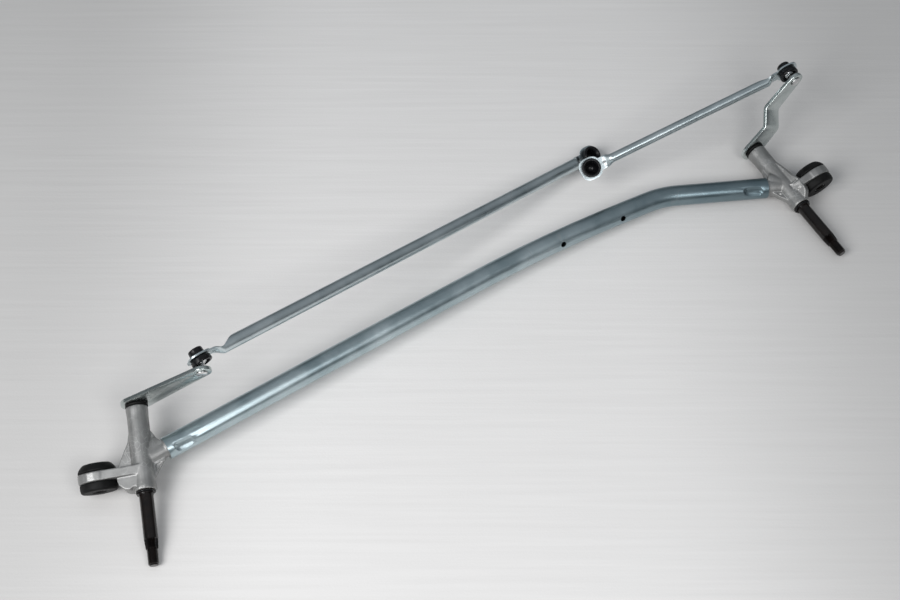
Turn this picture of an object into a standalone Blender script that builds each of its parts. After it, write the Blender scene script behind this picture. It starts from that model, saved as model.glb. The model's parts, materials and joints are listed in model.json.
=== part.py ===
"""Windscreen wiper linkage: a crimped tube frame between two cast pivot housings,
with two spindles, two cranks, two rolled sheet links and their ball joints.

Metres, +Z up. The linkage lies on a flat surface, on its spindle tips and grommets.
+X runs from the left pivot to the right pivot, and the spindle tips point to -Y.
"""
import bpy
import bmesh
from math import acos, asin, cos, degrees, pi, radians, sin, sqrt, tan
from mathutils import Matrix, Vector

# Gaps between pieces that touch or run in each other
SEAT_GAP = 0.0003
RUNNING_GAP = 0.0003

# How the two pivots stand: distance between them in plan, and the lean of each spindle
PIVOT_SPACING = 0.7111
LEFT_SPLAY = 17.4        # degrees, the left tip leans outwards, seen from above
LEFT_DIP = 12.9          # degrees, the tip points down below the level
RIGHT_SPLAY = -1.4
RIGHT_DIP = 3.9
TIP_LIFT = {"left": 0.0, "right": 0.0040}   # gap left under each tip

# Spindles
SPINDLE_LENGTH = 0.155   # from the crank's seat to the threaded tip
SPINDLE_RADIUS = 0.0065
THREAD_RADIUS = 0.0050
THREAD_LENGTH = 0.0155
THREAD_TIP = 0.0008      # chamfer at the very tip
CONE_LENGTH = 0.0085     # knurled cone that grips the wiper arm
CONE_END_RADIUS = 0.0056
CRANK_SEAT_RADIUS = 0.0060
RIVET_HEAD_RADIUS = 0.0082
RIVET_HEAD_HEIGHT = 0.0016

# Cast pivot housings
BARREL_RADIUS = 0.0105
BARREL_WAIST_RADIUS = 0.0101  # the barrel draws in a little between its ends
BARREL_TOP = 0.0030      # below the crank's seat
BARREL_LENGTH = 0.0820
BUSH_WALL = 0.0014
BUSH_LENGTH = 0.0200
BARREL_FOOT = BARREL_TOP + BARREL_LENGTH
SPIGOT_ABOVE_FOOT = 0.0290
SPIGOT_AT = BARREL_FOOT - SPIGOT_ABOVE_FOOT   # where the tube's axis meets the spindle's
SPIGOT_NECK_RADIUS = {"left": 0.0077, "right": 0.0086}
SPIGOT_PLUG_LENGTH = 0.0330
EYE_RADIUS = 0.0182
EYE_THICKNESS = 0.0094
EYE_TILT = 10.0          # degrees, the eye dips this much more than the spindle
ARM_ROOT_HALF_WIDTH = {"left": 0.0095, "right": 0.0135}
WEB_THICKNESS = 0.0060
LOWER_WEB_THICKNESS = {"left": 0.0176, "right": 0.0066}
WEB_ANGLE = {"left": 192.8, "right": 126.0}   # degrees, as the arms
GUSSET_RISE = {"left": 0.0365, "right": 0.0367}   # above the arm
GUSSET_FOOT = {"left": 0.0234, "right": 0.0178}
POCKET_WEB_THICKNESS = 0.0060
POCKET_WEB_NOSE = 0.0006   # how blunt each web is where it runs out along the spigot
TUBE_CLEARANCE = 0.0010    # between those webs and the tube's end
UPPER_POCKET_RISE = 0.0285   # above the spigot's axis
LOWER_POCKET_DROP = 0.0175   # below the spigot's axis
POCKET_DEPTH = 0.0016
POCKET_RIM = 0.0014
ARM_REACH = {"left": 0.0427, "right": 0.0304}
ARM_ABOVE_FOOT = {"left": 0.0215, "right": 0.0213}
ARM_AT = {side: BARREL_FOOT - rise for side, rise in ARM_ABOVE_FOOT.items()}
ARM_ANGLE = {"left": 192.8, "right": 172.0}   # degrees about the spindle, from the tube's side

# Grommets and their sleeves
GROMMET_RADIUS = 0.0180
GROMMET_CRANK_END_RADIUS = 0.0125
GROMMET_TIP_END_RADIUS = 0.0160
GROMMET_LIP = 0.0082     # height of each rubber lip beyond the eye
GROMMET_WAIST_RADIUS = 0.0128
SLEEVE_RADIUS = 0.0062
SLEEVE_BORE_RADIUS = 0.0046
SLEEVE_RECESS = 0.0008   # the sleeve ends this far inside the rubber

# Seals and clips on each spindle
SEAL_HEIGHT = 0.0024
SEAL_RADIUS = 0.0108
WASHER_RADIUS = 0.0094
WASHER_HEIGHT = 0.0015
CLIP_RADIUS = 0.0084
CLIP_HEIGHT = 0.0011
CLIP_GROOVE_RADIUS = 0.0056
CLIP_MOUTH = 70.0        # degrees, how far the clip is open

# Frame tube
TUBE_RADIUS = 0.0110
TUBE_WALL = 0.0015
TUBE_END_GAP = {"left": 0.0243, "right": 0.0210}   # from each spindle's axis to the tube's end
GENTLE_BEND = (0.4641, 0.0514)   # along the line between the spigots, and to the crank side
SHARP_BEND = (0.6037, 0.0487)
GENTLE_BEND_RADIUS = 1.500
SHARP_BEND_RADIUS = 0.095
CRIMP_AT = 0.0165        # from the tube's end to the middle of each crimp
CRIMP_LENGTH = 0.0200
CRIMP_WIDTH = 0.0090
CRIMP_DEPTH = 0.0028
CRIMP_ELEVATION = 36.0   # degrees above the level, on the tip side of the tube
BRACKET_HOLE_RADIUS = 0.0031
BRACKET_HOLE_ELEVATION = 21.0
BRACKET_HOLES = (0.4760, 0.5490)  # along the line between the spigots

# Cranks
CRANK_THICKNESS = 0.0040
CRANK_HUB_RADIUS = 0.0145
CRANK_END_RADIUS = 0.0092
CRANK_LENGTH = {"left": 0.0870, "right": 0.0860}
CRANK_ANGLE = {"left": 45.3, "right": 123.3}  # degrees about the spindle, from the tube's side
CRANK_JOGGLE = {"left": 0.0, "right": 0.0150}
JOGGLE_START = 0.0325
JOGGLE_SLOPE = 46.0      # degrees
JOGGLE_BEND_RADIUS = 0.0050
CRANK_EDGE = 0.0004

# Ball joints
BALL_RADIUS = 0.0065
BALL_HEIGHT = 0.0105     # from the crank's face to the ball's centre
STUD_RADIUS = 0.0035
STUD_COLLAR_RADIUS = 0.0055
STUD_COLLAR_HEIGHT = 0.0012
STUD_HEAD_HEIGHT = 0.0017
SOCKET_LIP_DEPTH = 0.0026
SOCKET_MOUTH_RADIUS = 0.0080
SOCKET_MOUTH_DEPTH = 0.0055
SOCKET_BELL_RADIUS = 0.0105
SOCKET_NECK_RADIUS = 0.0078
SOCKET_SNAP_RADIUS = 0.0086
SOCKET_CAP_RADIUS = 0.0074
SOCKET_CAP_HEIGHT = 0.0075
SHEET = 0.0016           # thickness of the links' sheet
PLATE_ABOVE_BALL = 0.0015

# Links: length between ball centres, direction in plan and slope, twist of the far eye
LINK_LENGTH = {"long": 0.5061, "short": 0.2342}
LINK_TUBE_RADIUS = {"long": 0.0065, "short": 0.0050}
LINK_HEADING = {"long": 11.7, "short": 174.8}
LINK_SLOPE = {"long": -9.55, "short": -12.8}
LINK_TWIST = {"long": -77.8, "short": 62.5}
EYE_PLATE_RADIUS = 0.0125
EYE_PLATE_SQUARENESS = 2.8
LINK_NECK_HALF_WIDTH = 0.0066
LINK_NECK_AT = 0.0170
LINK_ROLL_END = 0.0340   # from the ball's centre to where the sheet is rolled shut
LINK_SEAM = 0.0004
DRAIN_HOLE_RADIUS = 0.0016
DRAIN_HOLE_AT = 0.0158

ROUND = 20               # sides of a turned piece
TUBE_ROUND = 24
SMALL_ROUND = 16
WELD = 0.000003          # corners closer than this are one corner after a cut


def material(name, colour, metallic, roughness):
    """One Principled material, made once and shared by name."""
    found = bpy.data.materials.get(name)
    if found:
        return found
    made = bpy.data.materials.new(name)
    made.use_nodes = True
    shader = made.node_tree.nodes["Principled BSDF"]
    shader.inputs["Base Color"].default_value = (*colour, 1.0)
    shader.inputs["Metallic"].default_value = metallic
    shader.inputs["Roughness"].default_value = roughness
    return made


def zinc():
    return material("zinc_plate", (0.60, 0.64, 0.66), 1.0, 0.30)


def cast_aluminium():
    return material("cast_aluminium", (0.52, 0.52, 0.51), 0.9, 0.55)


def black_steel():
    return material("black_steel", (0.03, 0.03, 0.032), 0.7, 0.35)


def rubber():
    return material("rubber", (0.02, 0.02, 0.02), 0.0, 0.75)


def black_plastic():
    return material("black_plastic", (0.025, 0.025, 0.027), 0.0, 0.45)


def bronze():
    return material("bronze", (0.55, 0.40, 0.22), 1.0, 0.45)


def bare_steel():
    return material("bare_steel", (0.45, 0.45, 0.46), 1.0, 0.40)


def remove_everything():
    for item in list(bpy.data.objects):
        bpy.data.objects.remove(item, do_unlink=True)


def smooth(value):
    """A soft step from 0 to 1."""
    value = min(1.0, max(0.0, value))
    return value * value * (3.0 - 2.0 * value)


def mesh_of(shape, name):
    """Close a bmesh into a mesh whose faces point outwards."""
    bmesh.ops.remove_doubles(shape, verts=shape.verts, dist=1e-7)
    bmesh.ops.recalc_face_normals(shape, faces=shape.faces)
    mesh = bpy.data.meshes.new(name)
    shape.to_mesh(mesh)
    shape.free()
    return mesh


def place(name, mesh, paint, parent=None, matrix=None):
    """Make a named object of a mesh, on an empty or at the world's origin."""
    made = bpy.data.objects.new(name, mesh)
    bpy.context.scene.collection.objects.link(made)
    if parent:
        made.parent = parent
    if matrix:
        made.matrix_local = matrix
    mesh.materials.clear()
    mesh.materials.append(paint)
    mesh.shade_smooth()
    mesh.set_sharp_from_angle(angle=radians(35.0))
    return made


def turned_mesh(name, profile, segments=ROUND, start=0.0, sweep=2 * pi):
    """Turn a closed (radius, height) outline about Z; a partial sweep gets flat ends."""
    shape = bmesh.new()
    whole = sweep > 2 * pi - 1e-6
    steps = segments if whole else segments + 1
    rings = []
    for step in range(steps):
        angle = start + sweep * step / segments
        ring = []
        for radius, height in profile:
            if radius < 1e-9 and rings:
                ring.append(rings[0][len(ring)])
            else:
                ring.append(shape.verts.new((radius * cos(angle), radius * sin(angle), height)))
        rings.append(ring)
    closed = profile[0][0] > 1e-9
    count = len(profile)
    spans = segments
    for step in range(spans):
        here = rings[step]
        there = rings[(step + 1) % len(rings)]
        for index in range(count if closed else count - 1):
            after = (index + 1) % count
            corners = []
            for vertex in (here[index], there[index], there[after], here[after]):
                if vertex not in corners:
                    corners.append(vertex)
            if len(corners) > 2:
                shape.faces.new(corners)
    if not whole:
        shape.faces.new(rings[0])
        shape.faces.new(rings[-1])
    return mesh_of(shape, name)


def prism_mesh(name, outline, low, high):
    """Extrude a plan outline from one height to another."""
    shape = bmesh.new()
    floor = [shape.verts.new((x, y, low)) for x, y in outline]
    face = shape.faces.new(floor)
    made = bmesh.ops.extrude_face_region(shape, geom=[face])
    raised = [item for item in made["geom"] if isinstance(item, bmesh.types.BMVert)]
    bmesh.ops.translate(shape, verts=raised, vec=(0.0, 0.0, high - low))
    return mesh_of(shape, name)


def arc(centre, radius, start, end, steps):
    """Points on an arc, in degrees, both ends included."""
    points = []
    for step in range(steps + 1):
        angle = radians(start + (end - start) * step / steps)
        points.append((centre[0] + radius * cos(angle), centre[1] + radius * sin(angle)))
    return points


def two_circle_outline(first_radius, second_radius, distance, steps):
    """The outline round two circles on the X axis, as a belt would run."""
    lean = degrees(acos((first_radius - second_radius) / distance))
    outline = arc((0.0, 0.0), first_radius, lean, 360.0 - lean, steps)
    outline += arc((distance, 0.0), second_radius, -lean, lean, steps)
    return outline


def joined(base, tools, operation):
    """Apply a Boolean of each tool to the base, and remove the tools."""
    for tool in tools:
        step = base.modifiers.new("join", "BOOLEAN")
        step.operation = operation
        step.solver = "EXACT"
        step.object = tool
        tool.hide_render = True
        tool.display_type = "WIRE"
    bpy.context.view_layer.update()
    graph = bpy.context.evaluated_depsgraph_get()
    result = bpy.data.meshes.new_from_object(base.evaluated_get(graph))
    base.modifiers.clear()
    base.data = result
    for tool in tools:
        bpy.data.objects.remove(tool, do_unlink=True)
    shape = bmesh.new()
    shape.from_mesh(result)
    bmesh.ops.remove_doubles(shape, verts=shape.verts, dist=WELD)
    bmesh.ops.dissolve_degenerate(shape, edges=shape.edges, dist=WELD)
    shape.to_mesh(result)
    shape.free()
    return base


def helper(mesh, matrix=Matrix.Identity(4)):
    """A solid that is only joined to, or cut from, another."""
    made = bpy.data.objects.new(mesh.name, mesh)
    bpy.context.scene.collection.objects.link(made)
    made.matrix_world = matrix
    return made


def frame_of(origin, x_axis, z_axis):
    """A right-handed matrix whose Z is exact and whose X is as near as it can be."""
    z_axis = z_axis.normalized()
    x_axis = (x_axis - z_axis * x_axis.dot(z_axis)).normalized()
    y_axis = z_axis.cross(x_axis)
    matrix = Matrix((x_axis, y_axis, z_axis)).transposed().to_4x4()
    matrix.translation = origin
    return matrix


def empty(name, matrix, parent=None):
    made = bpy.data.objects.new(name, None)
    bpy.context.scene.collection.objects.link(made)
    made.empty_display_size = 0.03
    made.parent = parent
    made.matrix_world = matrix
    bpy.context.view_layer.update()
    return made


def spindle_direction(splay, dip):
    """From the crank's seat to the tip."""
    return Vector((-sin(radians(splay)) * cos(radians(dip)),
                   -cos(radians(splay)) * cos(radians(dip)),
                   -sin(radians(dip))))


def seat_point(side):
    """The middle of the crank's seat, at the height the resting linkage takes."""
    dip = radians(LEFT_DIP if side == "left" else RIGHT_DIP)
    height = (SPINDLE_LENGTH - THREAD_TIP) * sin(dip) + THREAD_RADIUS * cos(dip) + TIP_LIFT[side]
    reach = -PIVOT_SPACING / 2 if side == "left" else PIVOT_SPACING / 2
    return Vector((reach, 0.0, height))


TIP_WAY = {"left": spindle_direction(LEFT_SPLAY, LEFT_DIP),
           "right": spindle_direction(RIGHT_SPLAY, RIGHT_DIP)}
SEAT = {side: seat_point(side) for side in ("left", "right")}
UP_SIGN = {"left": -1.0, "right": 1.0}   # the pivots' frames are mirrored, so Y is down or up
JUNCTION = {side: SEAT[side] + TIP_WAY[side] * SPIGOT_AT for side in SEAT}


def route_point(along, aside):
    """A point of the tube's route, from the line between the two spigots."""
    line = JUNCTION["right"] - JUNCTION["left"]
    plan = Vector((line.x, line.y, 0.0))
    ahead = line / plan.length
    across = Vector((-plan.y, plan.x, 0.0)).normalized()
    return JUNCTION["left"] + ahead * along + across * aside


BENDS = [route_point(*GENTLE_BEND), route_point(*SHARP_BEND)]
TUBE_WAY = {"left": (BENDS[0] - JUNCTION["left"]).normalized(),
            "right": (BENDS[1] - JUNCTION["right"]).normalized()}


def side_normal(way, elevation):
    """Square to the tube, on the tip side, at an elevation above the level."""
    level = Vector((way.y, -way.x, 0.0)).normalized()
    if level.y > 0:
        level = -level
    upward = way.cross(level)
    if upward.z < 0:
        upward = -upward
    return level * cos(radians(elevation)) + upward * sin(radians(elevation))


def bend_points(before, corner, after, radius, steps):
    """A round bend at a corner of a route."""
    into = (corner - before).normalized()
    out = (after - corner).normalized()
    turn = into.angle(out)
    reach = radius * tan(turn / 2)
    start = corner - into * reach
    normal = into.cross(out).normalized()
    centre = start + normal.cross(into) * radius
    points = []
    for step in range(steps + 1):
        spin = Matrix.Rotation(turn * step / steps, 3, normal)
        points.append(centre + spin @ (start - centre))
    return points


def tube_stations():
    """Centre points of the tube's rings, close together where it is crimped or bent."""
    crimp = []
    half_flat = (CRIMP_LENGTH - CRIMP_WIDTH) / 2
    for offset in (1.12, 0.74, 0.38):
        crimp.append(half_flat + offset * CRIMP_WIDTH / 2)
    near = [0.0] + [CRIMP_AT - value for value in crimp]
    near += [CRIMP_AT + value for value in reversed(crimp)]
    left_end = JUNCTION["left"] + TUBE_WAY["left"] * TUBE_END_GAP["left"]
    right_end = JUNCTION["right"] + TUBE_WAY["right"] * TUBE_END_GAP["right"]
    points = [left_end + TUBE_WAY["left"] * value for value in near]
    points += bend_points(left_end, BENDS[0], BENDS[1], GENTLE_BEND_RADIUS, 3)
    points += bend_points(BENDS[0], BENDS[1], right_end, SHARP_BEND_RADIUS, 6)
    points += [right_end + TUBE_WAY["right"] * value for value in reversed(near)]
    return points, left_end, right_end


def crimp_push(point, end, way):
    """How far a point of the tube's skin is pushed in by the crimps near one end."""
    push = 0.0
    half_flat = (CRIMP_LENGTH - CRIMP_WIDTH) / 2
    for sign in (1.0, -1.0):
        normal = side_normal(way, CRIMP_ELEVATION) * sign
        middle = end + way * CRIMP_AT + normal * TUBE_RADIUS
        offset = point - middle
        along = max(0.0, abs(offset.dot(way)) - half_flat)
        across = offset.dot(way.cross(normal))
        if (point - end).dot(normal) > 0:
            distance = sqrt(along * along + across * across)
            edge = CRIMP_WIDTH / 2 * 1.12
            push = max(push, CRIMP_DEPTH * smooth((edge - distance) / (edge * 0.45)))
    return push


def frame_tube():
    """The bent tube, crimped onto the spigots at both ends."""
    points, left_end, right_end = tube_stations()
    shape = bmesh.new()
    outer_rings = []
    inner_rings = []
    for index, centre in enumerate(points):
        before = points[max(0, index - 1)]
        after = points[min(len(points) - 1, index + 1)]
        way = (after - before).normalized()
        normal = side_normal(way, CRIMP_ELEVATION)
        binormal = way.cross(normal)
        outer = []
        inner = []
        for step in range(TUBE_ROUND):
            angle = 2 * pi * step / TUBE_ROUND
            radial = normal * cos(angle) + binormal * sin(angle)
            skin = centre + radial * TUBE_RADIUS
            push = crimp_push(skin, left_end, TUBE_WAY["left"])
            push = max(push, crimp_push(skin, right_end, TUBE_WAY["right"]))
            outer.append(shape.verts.new(skin - radial * push))
            inner.append(shape.verts.new(skin - radial * (push + TUBE_WALL)))
        outer_rings.append(outer)
        inner_rings.append(inner)
    for rings in (outer_rings, inner_rings):
        for here, there in zip(rings, rings[1:]):
            for step in range(TUBE_ROUND):
                nxt = (step + 1) % TUBE_ROUND
                shape.faces.new((here[step], here[nxt], there[nxt], there[step]))
    for end in (0, -1):
        for step in range(TUBE_ROUND):
            nxt = (step + 1) % TUBE_ROUND
            shape.faces.new((outer_rings[end][step], outer_rings[end][nxt],
                             inner_rings[end][nxt], inner_rings[end][step]))
    tube = place("frame_tube", mesh_of(shape, "frame_tube"), zinc())
    drills = []
    for along in BRACKET_HOLES:
        drills.append(bracket_drill(along))
    joined(tube, drills, "DIFFERENCE")
    return finished(tube)


def bracket_drill(along):
    """A drill through both walls of the tube, where the motor's bracket is bolted."""
    span = (SHARP_BEND[0] - GENTLE_BEND[0])
    share = (along - GENTLE_BEND[0]) / span
    centre = BENDS[0].lerp(BENDS[1], share)
    arc_sag = bend_sag(share * span)
    way = (BENDS[1] - BENDS[0]).normalized()
    normal = side_normal(way, BRACKET_HOLE_ELEVATION)
    centre = centre + side_normal(way, 0.0) * arc_sag
    profile = [(0.0, -2 * TUBE_RADIUS), (BRACKET_HOLE_RADIUS, -2 * TUBE_RADIUS),
               (BRACKET_HOLE_RADIUS, 2 * TUBE_RADIUS), (0.0, 2 * TUBE_RADIUS)]
    mesh = turned_mesh("bracket_drill", profile, 20)
    return helper(mesh, frame_of(centre, way, normal))


def bend_sag(from_corner):
    """How far the gentle bend's arc lies inside its corner."""
    into = (BENDS[0] - JUNCTION["left"]).normalized()
    out = (BENDS[1] - BENDS[0]).normalized()
    turn = into.angle(out)
    reach = GENTLE_BEND_RADIUS * tan(turn / 2)
    left_over = max(0.0, reach - from_corner)
    return left_over * left_over / (2 * GENTLE_BEND_RADIUS)


def finished(made):
    """Shade a piece after its Booleans."""
    made.data.shade_smooth()
    made.data.set_sharp_from_angle(angle=radians(35.0))
    return made


def pivot_frame(side):
    """Z points from the tip to the crank, X to the tube."""
    return frame_of(SEAT[side], TUBE_WAY[side], -TIP_WAY[side])


PIVOT = {side: pivot_frame(side) for side in SEAT}


def web_prism(name, outline, thickness, angle):
    """A web that stands along the barrel: an outline in (outward, height)."""
    mesh = prism_mesh(name, outline, -thickness / 2, thickness / 2)
    upright = Matrix.Rotation(radians(angle), 4, "Z") @ Matrix.Rotation(pi / 2, 4, "X")
    mesh.transform(upright)
    return mesh


def inset_triangle(corners, rim):
    """A triangle inside another, a rim's width from each side."""
    a, b, c = [Vector(corner) for corner in corners]
    sides = [(b - c).length, (c - a).length, (a - b).length]
    whole = sum(sides)
    middle = (a * sides[0] + b * sides[1] + c * sides[2]) / whole
    area = abs((b.x - a.x) * (c.y - a.y) - (c.x - a.x) * (b.y - a.y)) / 2
    inner = area / (whole / 2)
    share = max(0.1, 1.0 - rim / inner)
    return [tuple(middle + (corner - middle) * share) for corner in (a, b, c)]


def pivot_housing(side):
    """The casting: barrel, spigot with its plug, arm with its eye, and webs."""
    top = -BARREL_TOP
    bottom = top - BARREL_LENGTH
    edge = 0.0007
    collar = 0.0035
    blend = 0.0060
    barrel_profile = [(0.0, bottom), (BARREL_RADIUS - edge, bottom), (BARREL_RADIUS, bottom + edge),
                      (BARREL_RADIUS, bottom + collar), (BARREL_WAIST_RADIUS, bottom + collar + blend),
                      (BARREL_WAIST_RADIUS, top - collar - blend), (BARREL_RADIUS, top - collar),
                      (BARREL_RADIUS, top - edge), (BARREL_RADIUS - edge, top), (0.0, top)]
    barrel = helper(turned_mesh("barrel", barrel_profile))
    parts = spigot_parts(side) + arm_parts(side) + spigot_webs(side)
    body = joined(barrel, parts, "UNION")
    cutters = [main_bore(bottom, top), eye_bore(side)] + crimp_recesses(side) + web_pockets(side)
    body = joined(body, cutters, "DIFFERENCE")
    mesh = body.data
    bpy.data.objects.remove(body, do_unlink=True)
    name = side + "_pivot_housing"
    mesh.name = name
    made = place(name, mesh, cast_aluminium(), FRAME_EMPTY, PIVOT[side])
    return finished(made)


def spigot_slope(side):
    """How far the tube leans from square to the spindle, towards the crank."""
    return degrees(asin(TUBE_WAY[side].dot(-TIP_WAY[side])))


def spigot_matrix(side):
    """X runs out along the tube, from where its axis meets the spindle's."""
    lean = Matrix.Rotation(-radians(spigot_slope(side)), 4, "Y")
    return Matrix.Translation((0.0, 0.0, -SPIGOT_AT)) @ lean


def spigot_parts(side):
    """A neck in the open, then a plug that fills the tube's end."""
    plug_radius = TUBE_RADIUS - TUBE_WALL - SEAT_GAP
    neck = SPIGOT_NECK_RADIUS[side]
    neck_end = TUBE_END_GAP[side] - 0.0010
    plug_end = TUBE_END_GAP[side] + SPIGOT_PLUG_LENGTH
    tip = 0.0015
    profile = [(0.0, 0.0), (neck, 0.0), (neck, neck_end),
               (plug_radius, neck_end + 0.0010), (plug_radius, plug_end - tip),
               (plug_radius - tip, plug_end), (0.0, plug_end)]
    mesh = turned_mesh("spigot", profile)
    lay = Matrix.Rotation(pi / 2, 4, "Y")
    return [helper(mesh, spigot_matrix(side) @ lay)]


def arm_matrix(side):
    """X runs out along the arm, Z is the eye's axis, dipped a little more than the spindle."""
    turn = Matrix.Rotation(UP_SIGN[side] * radians(ARM_ANGLE[side]), 4, "Z")
    tilt = Matrix.Rotation(UP_SIGN[side] * radians(EYE_TILT), 4, "X")
    return Matrix.Translation((0.0, 0.0, -ARM_AT[side])) @ turn @ tilt


def arm_parts(side):
    """The eye, the arm that carries it, and the upright webs above and below."""
    reach = ARM_REACH[side]
    half = EYE_THICKNESS / 2
    edge = 0.0008
    eye_profile = [(0.0, -half), (EYE_RADIUS - edge, -half), (EYE_RADIUS, -half + edge),
                   (EYE_RADIUS, half - edge), (EYE_RADIUS - edge, half), (0.0, half)]
    lie = arm_matrix(side)
    eye = helper(turned_mesh("eye", eye_profile), lie @ Matrix.Translation((reach, 0.0, 0.0)))
    root = ARM_ROOT_HALF_WIDTH[side]
    lean = acos((EYE_RADIUS - root) / reach)
    shoulder = (reach - EYE_RADIUS * cos(lean) * 0.96, EYE_RADIUS * sin(lean) * 0.96)
    outline = [(0.0, -root), (shoulder[0], -shoulder[1]), shoulder, (0.0, root)]
    trim = 0.0004
    arm = helper(prism_mesh("arm", outline, -half + trim, half - trim), lie)
    level = -ARM_AT[side]
    top = level + GUSSET_RISE[side]
    foot = GUSSET_FOOT[side]
    gusset = [(0.0, top + 0.0030), (BARREL_WAIST_RADIUS - 0.0010, top + 0.0020),
              (BARREL_WAIST_RADIUS + 0.0020, top - 0.0100),
              (foot - 0.0030, level + half + 0.0060), (foot, level + half - 0.0012), (foot, level),
              (0.0, level)]
    bottom = -BARREL_FOOT
    lower = [(0.0, level + 0.0010), (foot, level + 0.0010), (foot, level - 0.0085),
             (foot - 0.0008, level - 0.0125), (foot - 0.0032, level - 0.0155),
             (foot - 0.0065, bottom + 0.0030), (BARREL_RADIUS + 0.0015, bottom + 0.0020),
             (BARREL_RADIUS - 0.0015, bottom + 0.0040), (0.0, bottom + 0.0040)]
    angle = UP_SIGN[side] * WEB_ANGLE[side]
    upper_web = helper(web_prism("upper_web", gusset, WEB_THICKNESS, angle))
    lower_web = helper(web_prism("lower_web", lower, LOWER_WEB_THICKNESS[side], angle))
    return [eye, arm, upper_web, lower_web]


def spigot_web_corners(side):
    """Corners of the two webs between barrel and spigot, as (outward, height)."""
    lean = radians(spigot_slope(side))
    face = SPIGOT_NECK_RADIUS[side] / cos(lean)
    middle = -SPIGOT_AT
    near = TUBE_END_GAP[side] * cos(lean) - TUBE_RADIUS * sin(lean) - TUBE_CLEARANCE
    far = TUBE_END_GAP[side] * cos(lean) - TUBE_CLEARANCE
    upper = [(BARREL_WAIST_RADIUS, middle + UPPER_POCKET_RISE),
             (BARREL_WAIST_RADIUS, middle + tan(lean) * BARREL_WAIST_RADIUS + face),
             (near, middle + tan(lean) * near + face + POCKET_WEB_NOSE)]
    lower = [(BARREL_WAIST_RADIUS, middle - LOWER_POCKET_DROP),
             (BARREL_WAIST_RADIUS, middle + tan(lean) * BARREL_WAIST_RADIUS - face),
             (far, middle + tan(lean) * far - face - POCKET_WEB_NOSE)]
    return upper, lower


def spigot_webs(side):
    """Flat webs in the crook above and below the spigot, sunk into both."""
    parts = []
    for label, corners in zip(("upper", "lower"), spigot_web_corners(side)):
        (x0, z0), (x1, z1), (x2, z2) = corners
        inward = -1.0 if label == "upper" else 1.0
        outline = [(x0 - 0.004, z0), (x0, z0), (x2, z2), (x2 - 0.003, z2 + inward * 0.004),
                   (x1 - 0.004, z1 + inward * 0.004)]
        parts.append(helper(web_prism(label + "_pocket_web", outline, POCKET_WEB_THICKNESS, 0.0)))
    return parts


def web_pockets(side):
    """Shallow three-cornered pockets in both faces of the spigot webs."""
    cutters = []
    for label, corners in zip(("upper", "lower"), spigot_web_corners(side)):
        outline = inset_triangle(corners, POCKET_RIM)
        for sign in (1.0, -1.0):
            mesh = web_prism(label + "_pocket", outline, POCKET_DEPTH * 2, 0.0)
            shift = Matrix.Translation((0.0, sign * POCKET_WEB_THICKNESS / 2, 0.0))
            cutters.append(helper(mesh, shift))
    return cutters


def main_bore(bottom, top):
    """The bore that both bushes are pressed into."""
    radius = bush_outer_radius() + SEAT_GAP
    profile = [(0.0, bottom - 0.002), (radius, bottom - 0.002), (radius, top + 0.002), (0.0, top + 0.002)]
    return helper(turned_mesh("main_bore", profile))


def eye_bore(side):
    """The hole in the eye that the grommet's waist sits in."""
    radius = GROMMET_WAIST_RADIUS + SEAT_GAP
    profile = [(0.0, -EYE_THICKNESS), (radius, -EYE_THICKNESS), (radius, EYE_THICKNESS),
               (0.0, EYE_THICKNESS)]
    lie = arm_matrix(side) @ Matrix.Translation((ARM_REACH[side], 0.0, 0.0))
    return helper(turned_mesh("eye_bore", profile), lie)


def crimp_recesses(side):
    """Slots in the plug that the tube's crimps are pressed into."""
    way = TUBE_WAY[side]
    length = CRIMP_LENGTH / 2 + 0.0012
    radius = CRIMP_WIDTH / 2 + 0.0016
    flat = length - radius
    outline = arc((flat, 0.0), radius, -90.0, 90.0, 8) + arc((-flat, 0.0), radius, 90.0, 270.0, 8)
    floor = TUBE_RADIUS - TUBE_WALL - CRIMP_DEPTH - SEAT_GAP
    cutters = []
    for sign in (1.0, -1.0):
        mesh = prism_mesh("crimp_recess", outline, floor, TUBE_RADIUS + 0.002)
        normal = side_normal(way, CRIMP_ELEVATION) * sign
        middle = JUNCTION[side] + way * (TUBE_END_GAP[side] + CRIMP_AT)
        cutters.append(helper(mesh, PIVOT[side].inverted() @ frame_of(middle, way, normal)))
    return cutters


def bush_inner_radius():
    return SPINDLE_RADIUS + RUNNING_GAP


def bush_outer_radius():
    return bush_inner_radius() + BUSH_WALL


def bush(side, place_name, top):
    inner = bush_inner_radius()
    outer = bush_outer_radius()
    low = top - BUSH_LENGTH
    profile = [(inner, low), (outer, low), (outer, top), (inner, top)]
    name = side + "_" + place_name + "_bush"
    return place(name, turned_mesh(name, profile), bronze(), FRAME_EMPTY, PIVOT[side])


def grommet_matrix(side):
    """On the eye's axis, in the middle of its thickness."""
    return PIVOT[side] @ arm_matrix(side) @ Matrix.Translation((ARM_REACH[side], 0.0, 0.0))


def grommet(side):
    """A rubber spool: a waist in the eye, a domed lip above and a drum below."""
    bore = SLEEVE_RADIUS + SEAT_GAP
    half = EYE_THICKNESS / 2 + SEAT_GAP
    full = half + GROMMET_LIP
    drum = GROMMET_RADIUS - 0.0003
    profile = [(bore, -full), (GROMMET_TIP_END_RADIUS, -full), (drum - 0.0005, -full + 0.0011),
               (drum, -full + 0.0024), (drum, -half - 0.0008), (drum - 0.0006, -half),
               (GROMMET_WAIST_RADIUS, -half), (GROMMET_WAIST_RADIUS, half),
               (GROMMET_RADIUS - 0.0006, half), (GROMMET_RADIUS, half + 0.0008),
               (GROMMET_RADIUS - 0.0003, half + 0.0022), (GROMMET_RADIUS - 0.0020, full - 0.0028),
               (GROMMET_CRANK_END_RADIUS + 0.0010, full - 0.0006), (GROMMET_CRANK_END_RADIUS, full),
               (bore, full)]
    name = side + "_grommet"
    return place(name, turned_mesh(name, profile), rubber(), FRAME_EMPTY, grommet_matrix(side))


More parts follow.
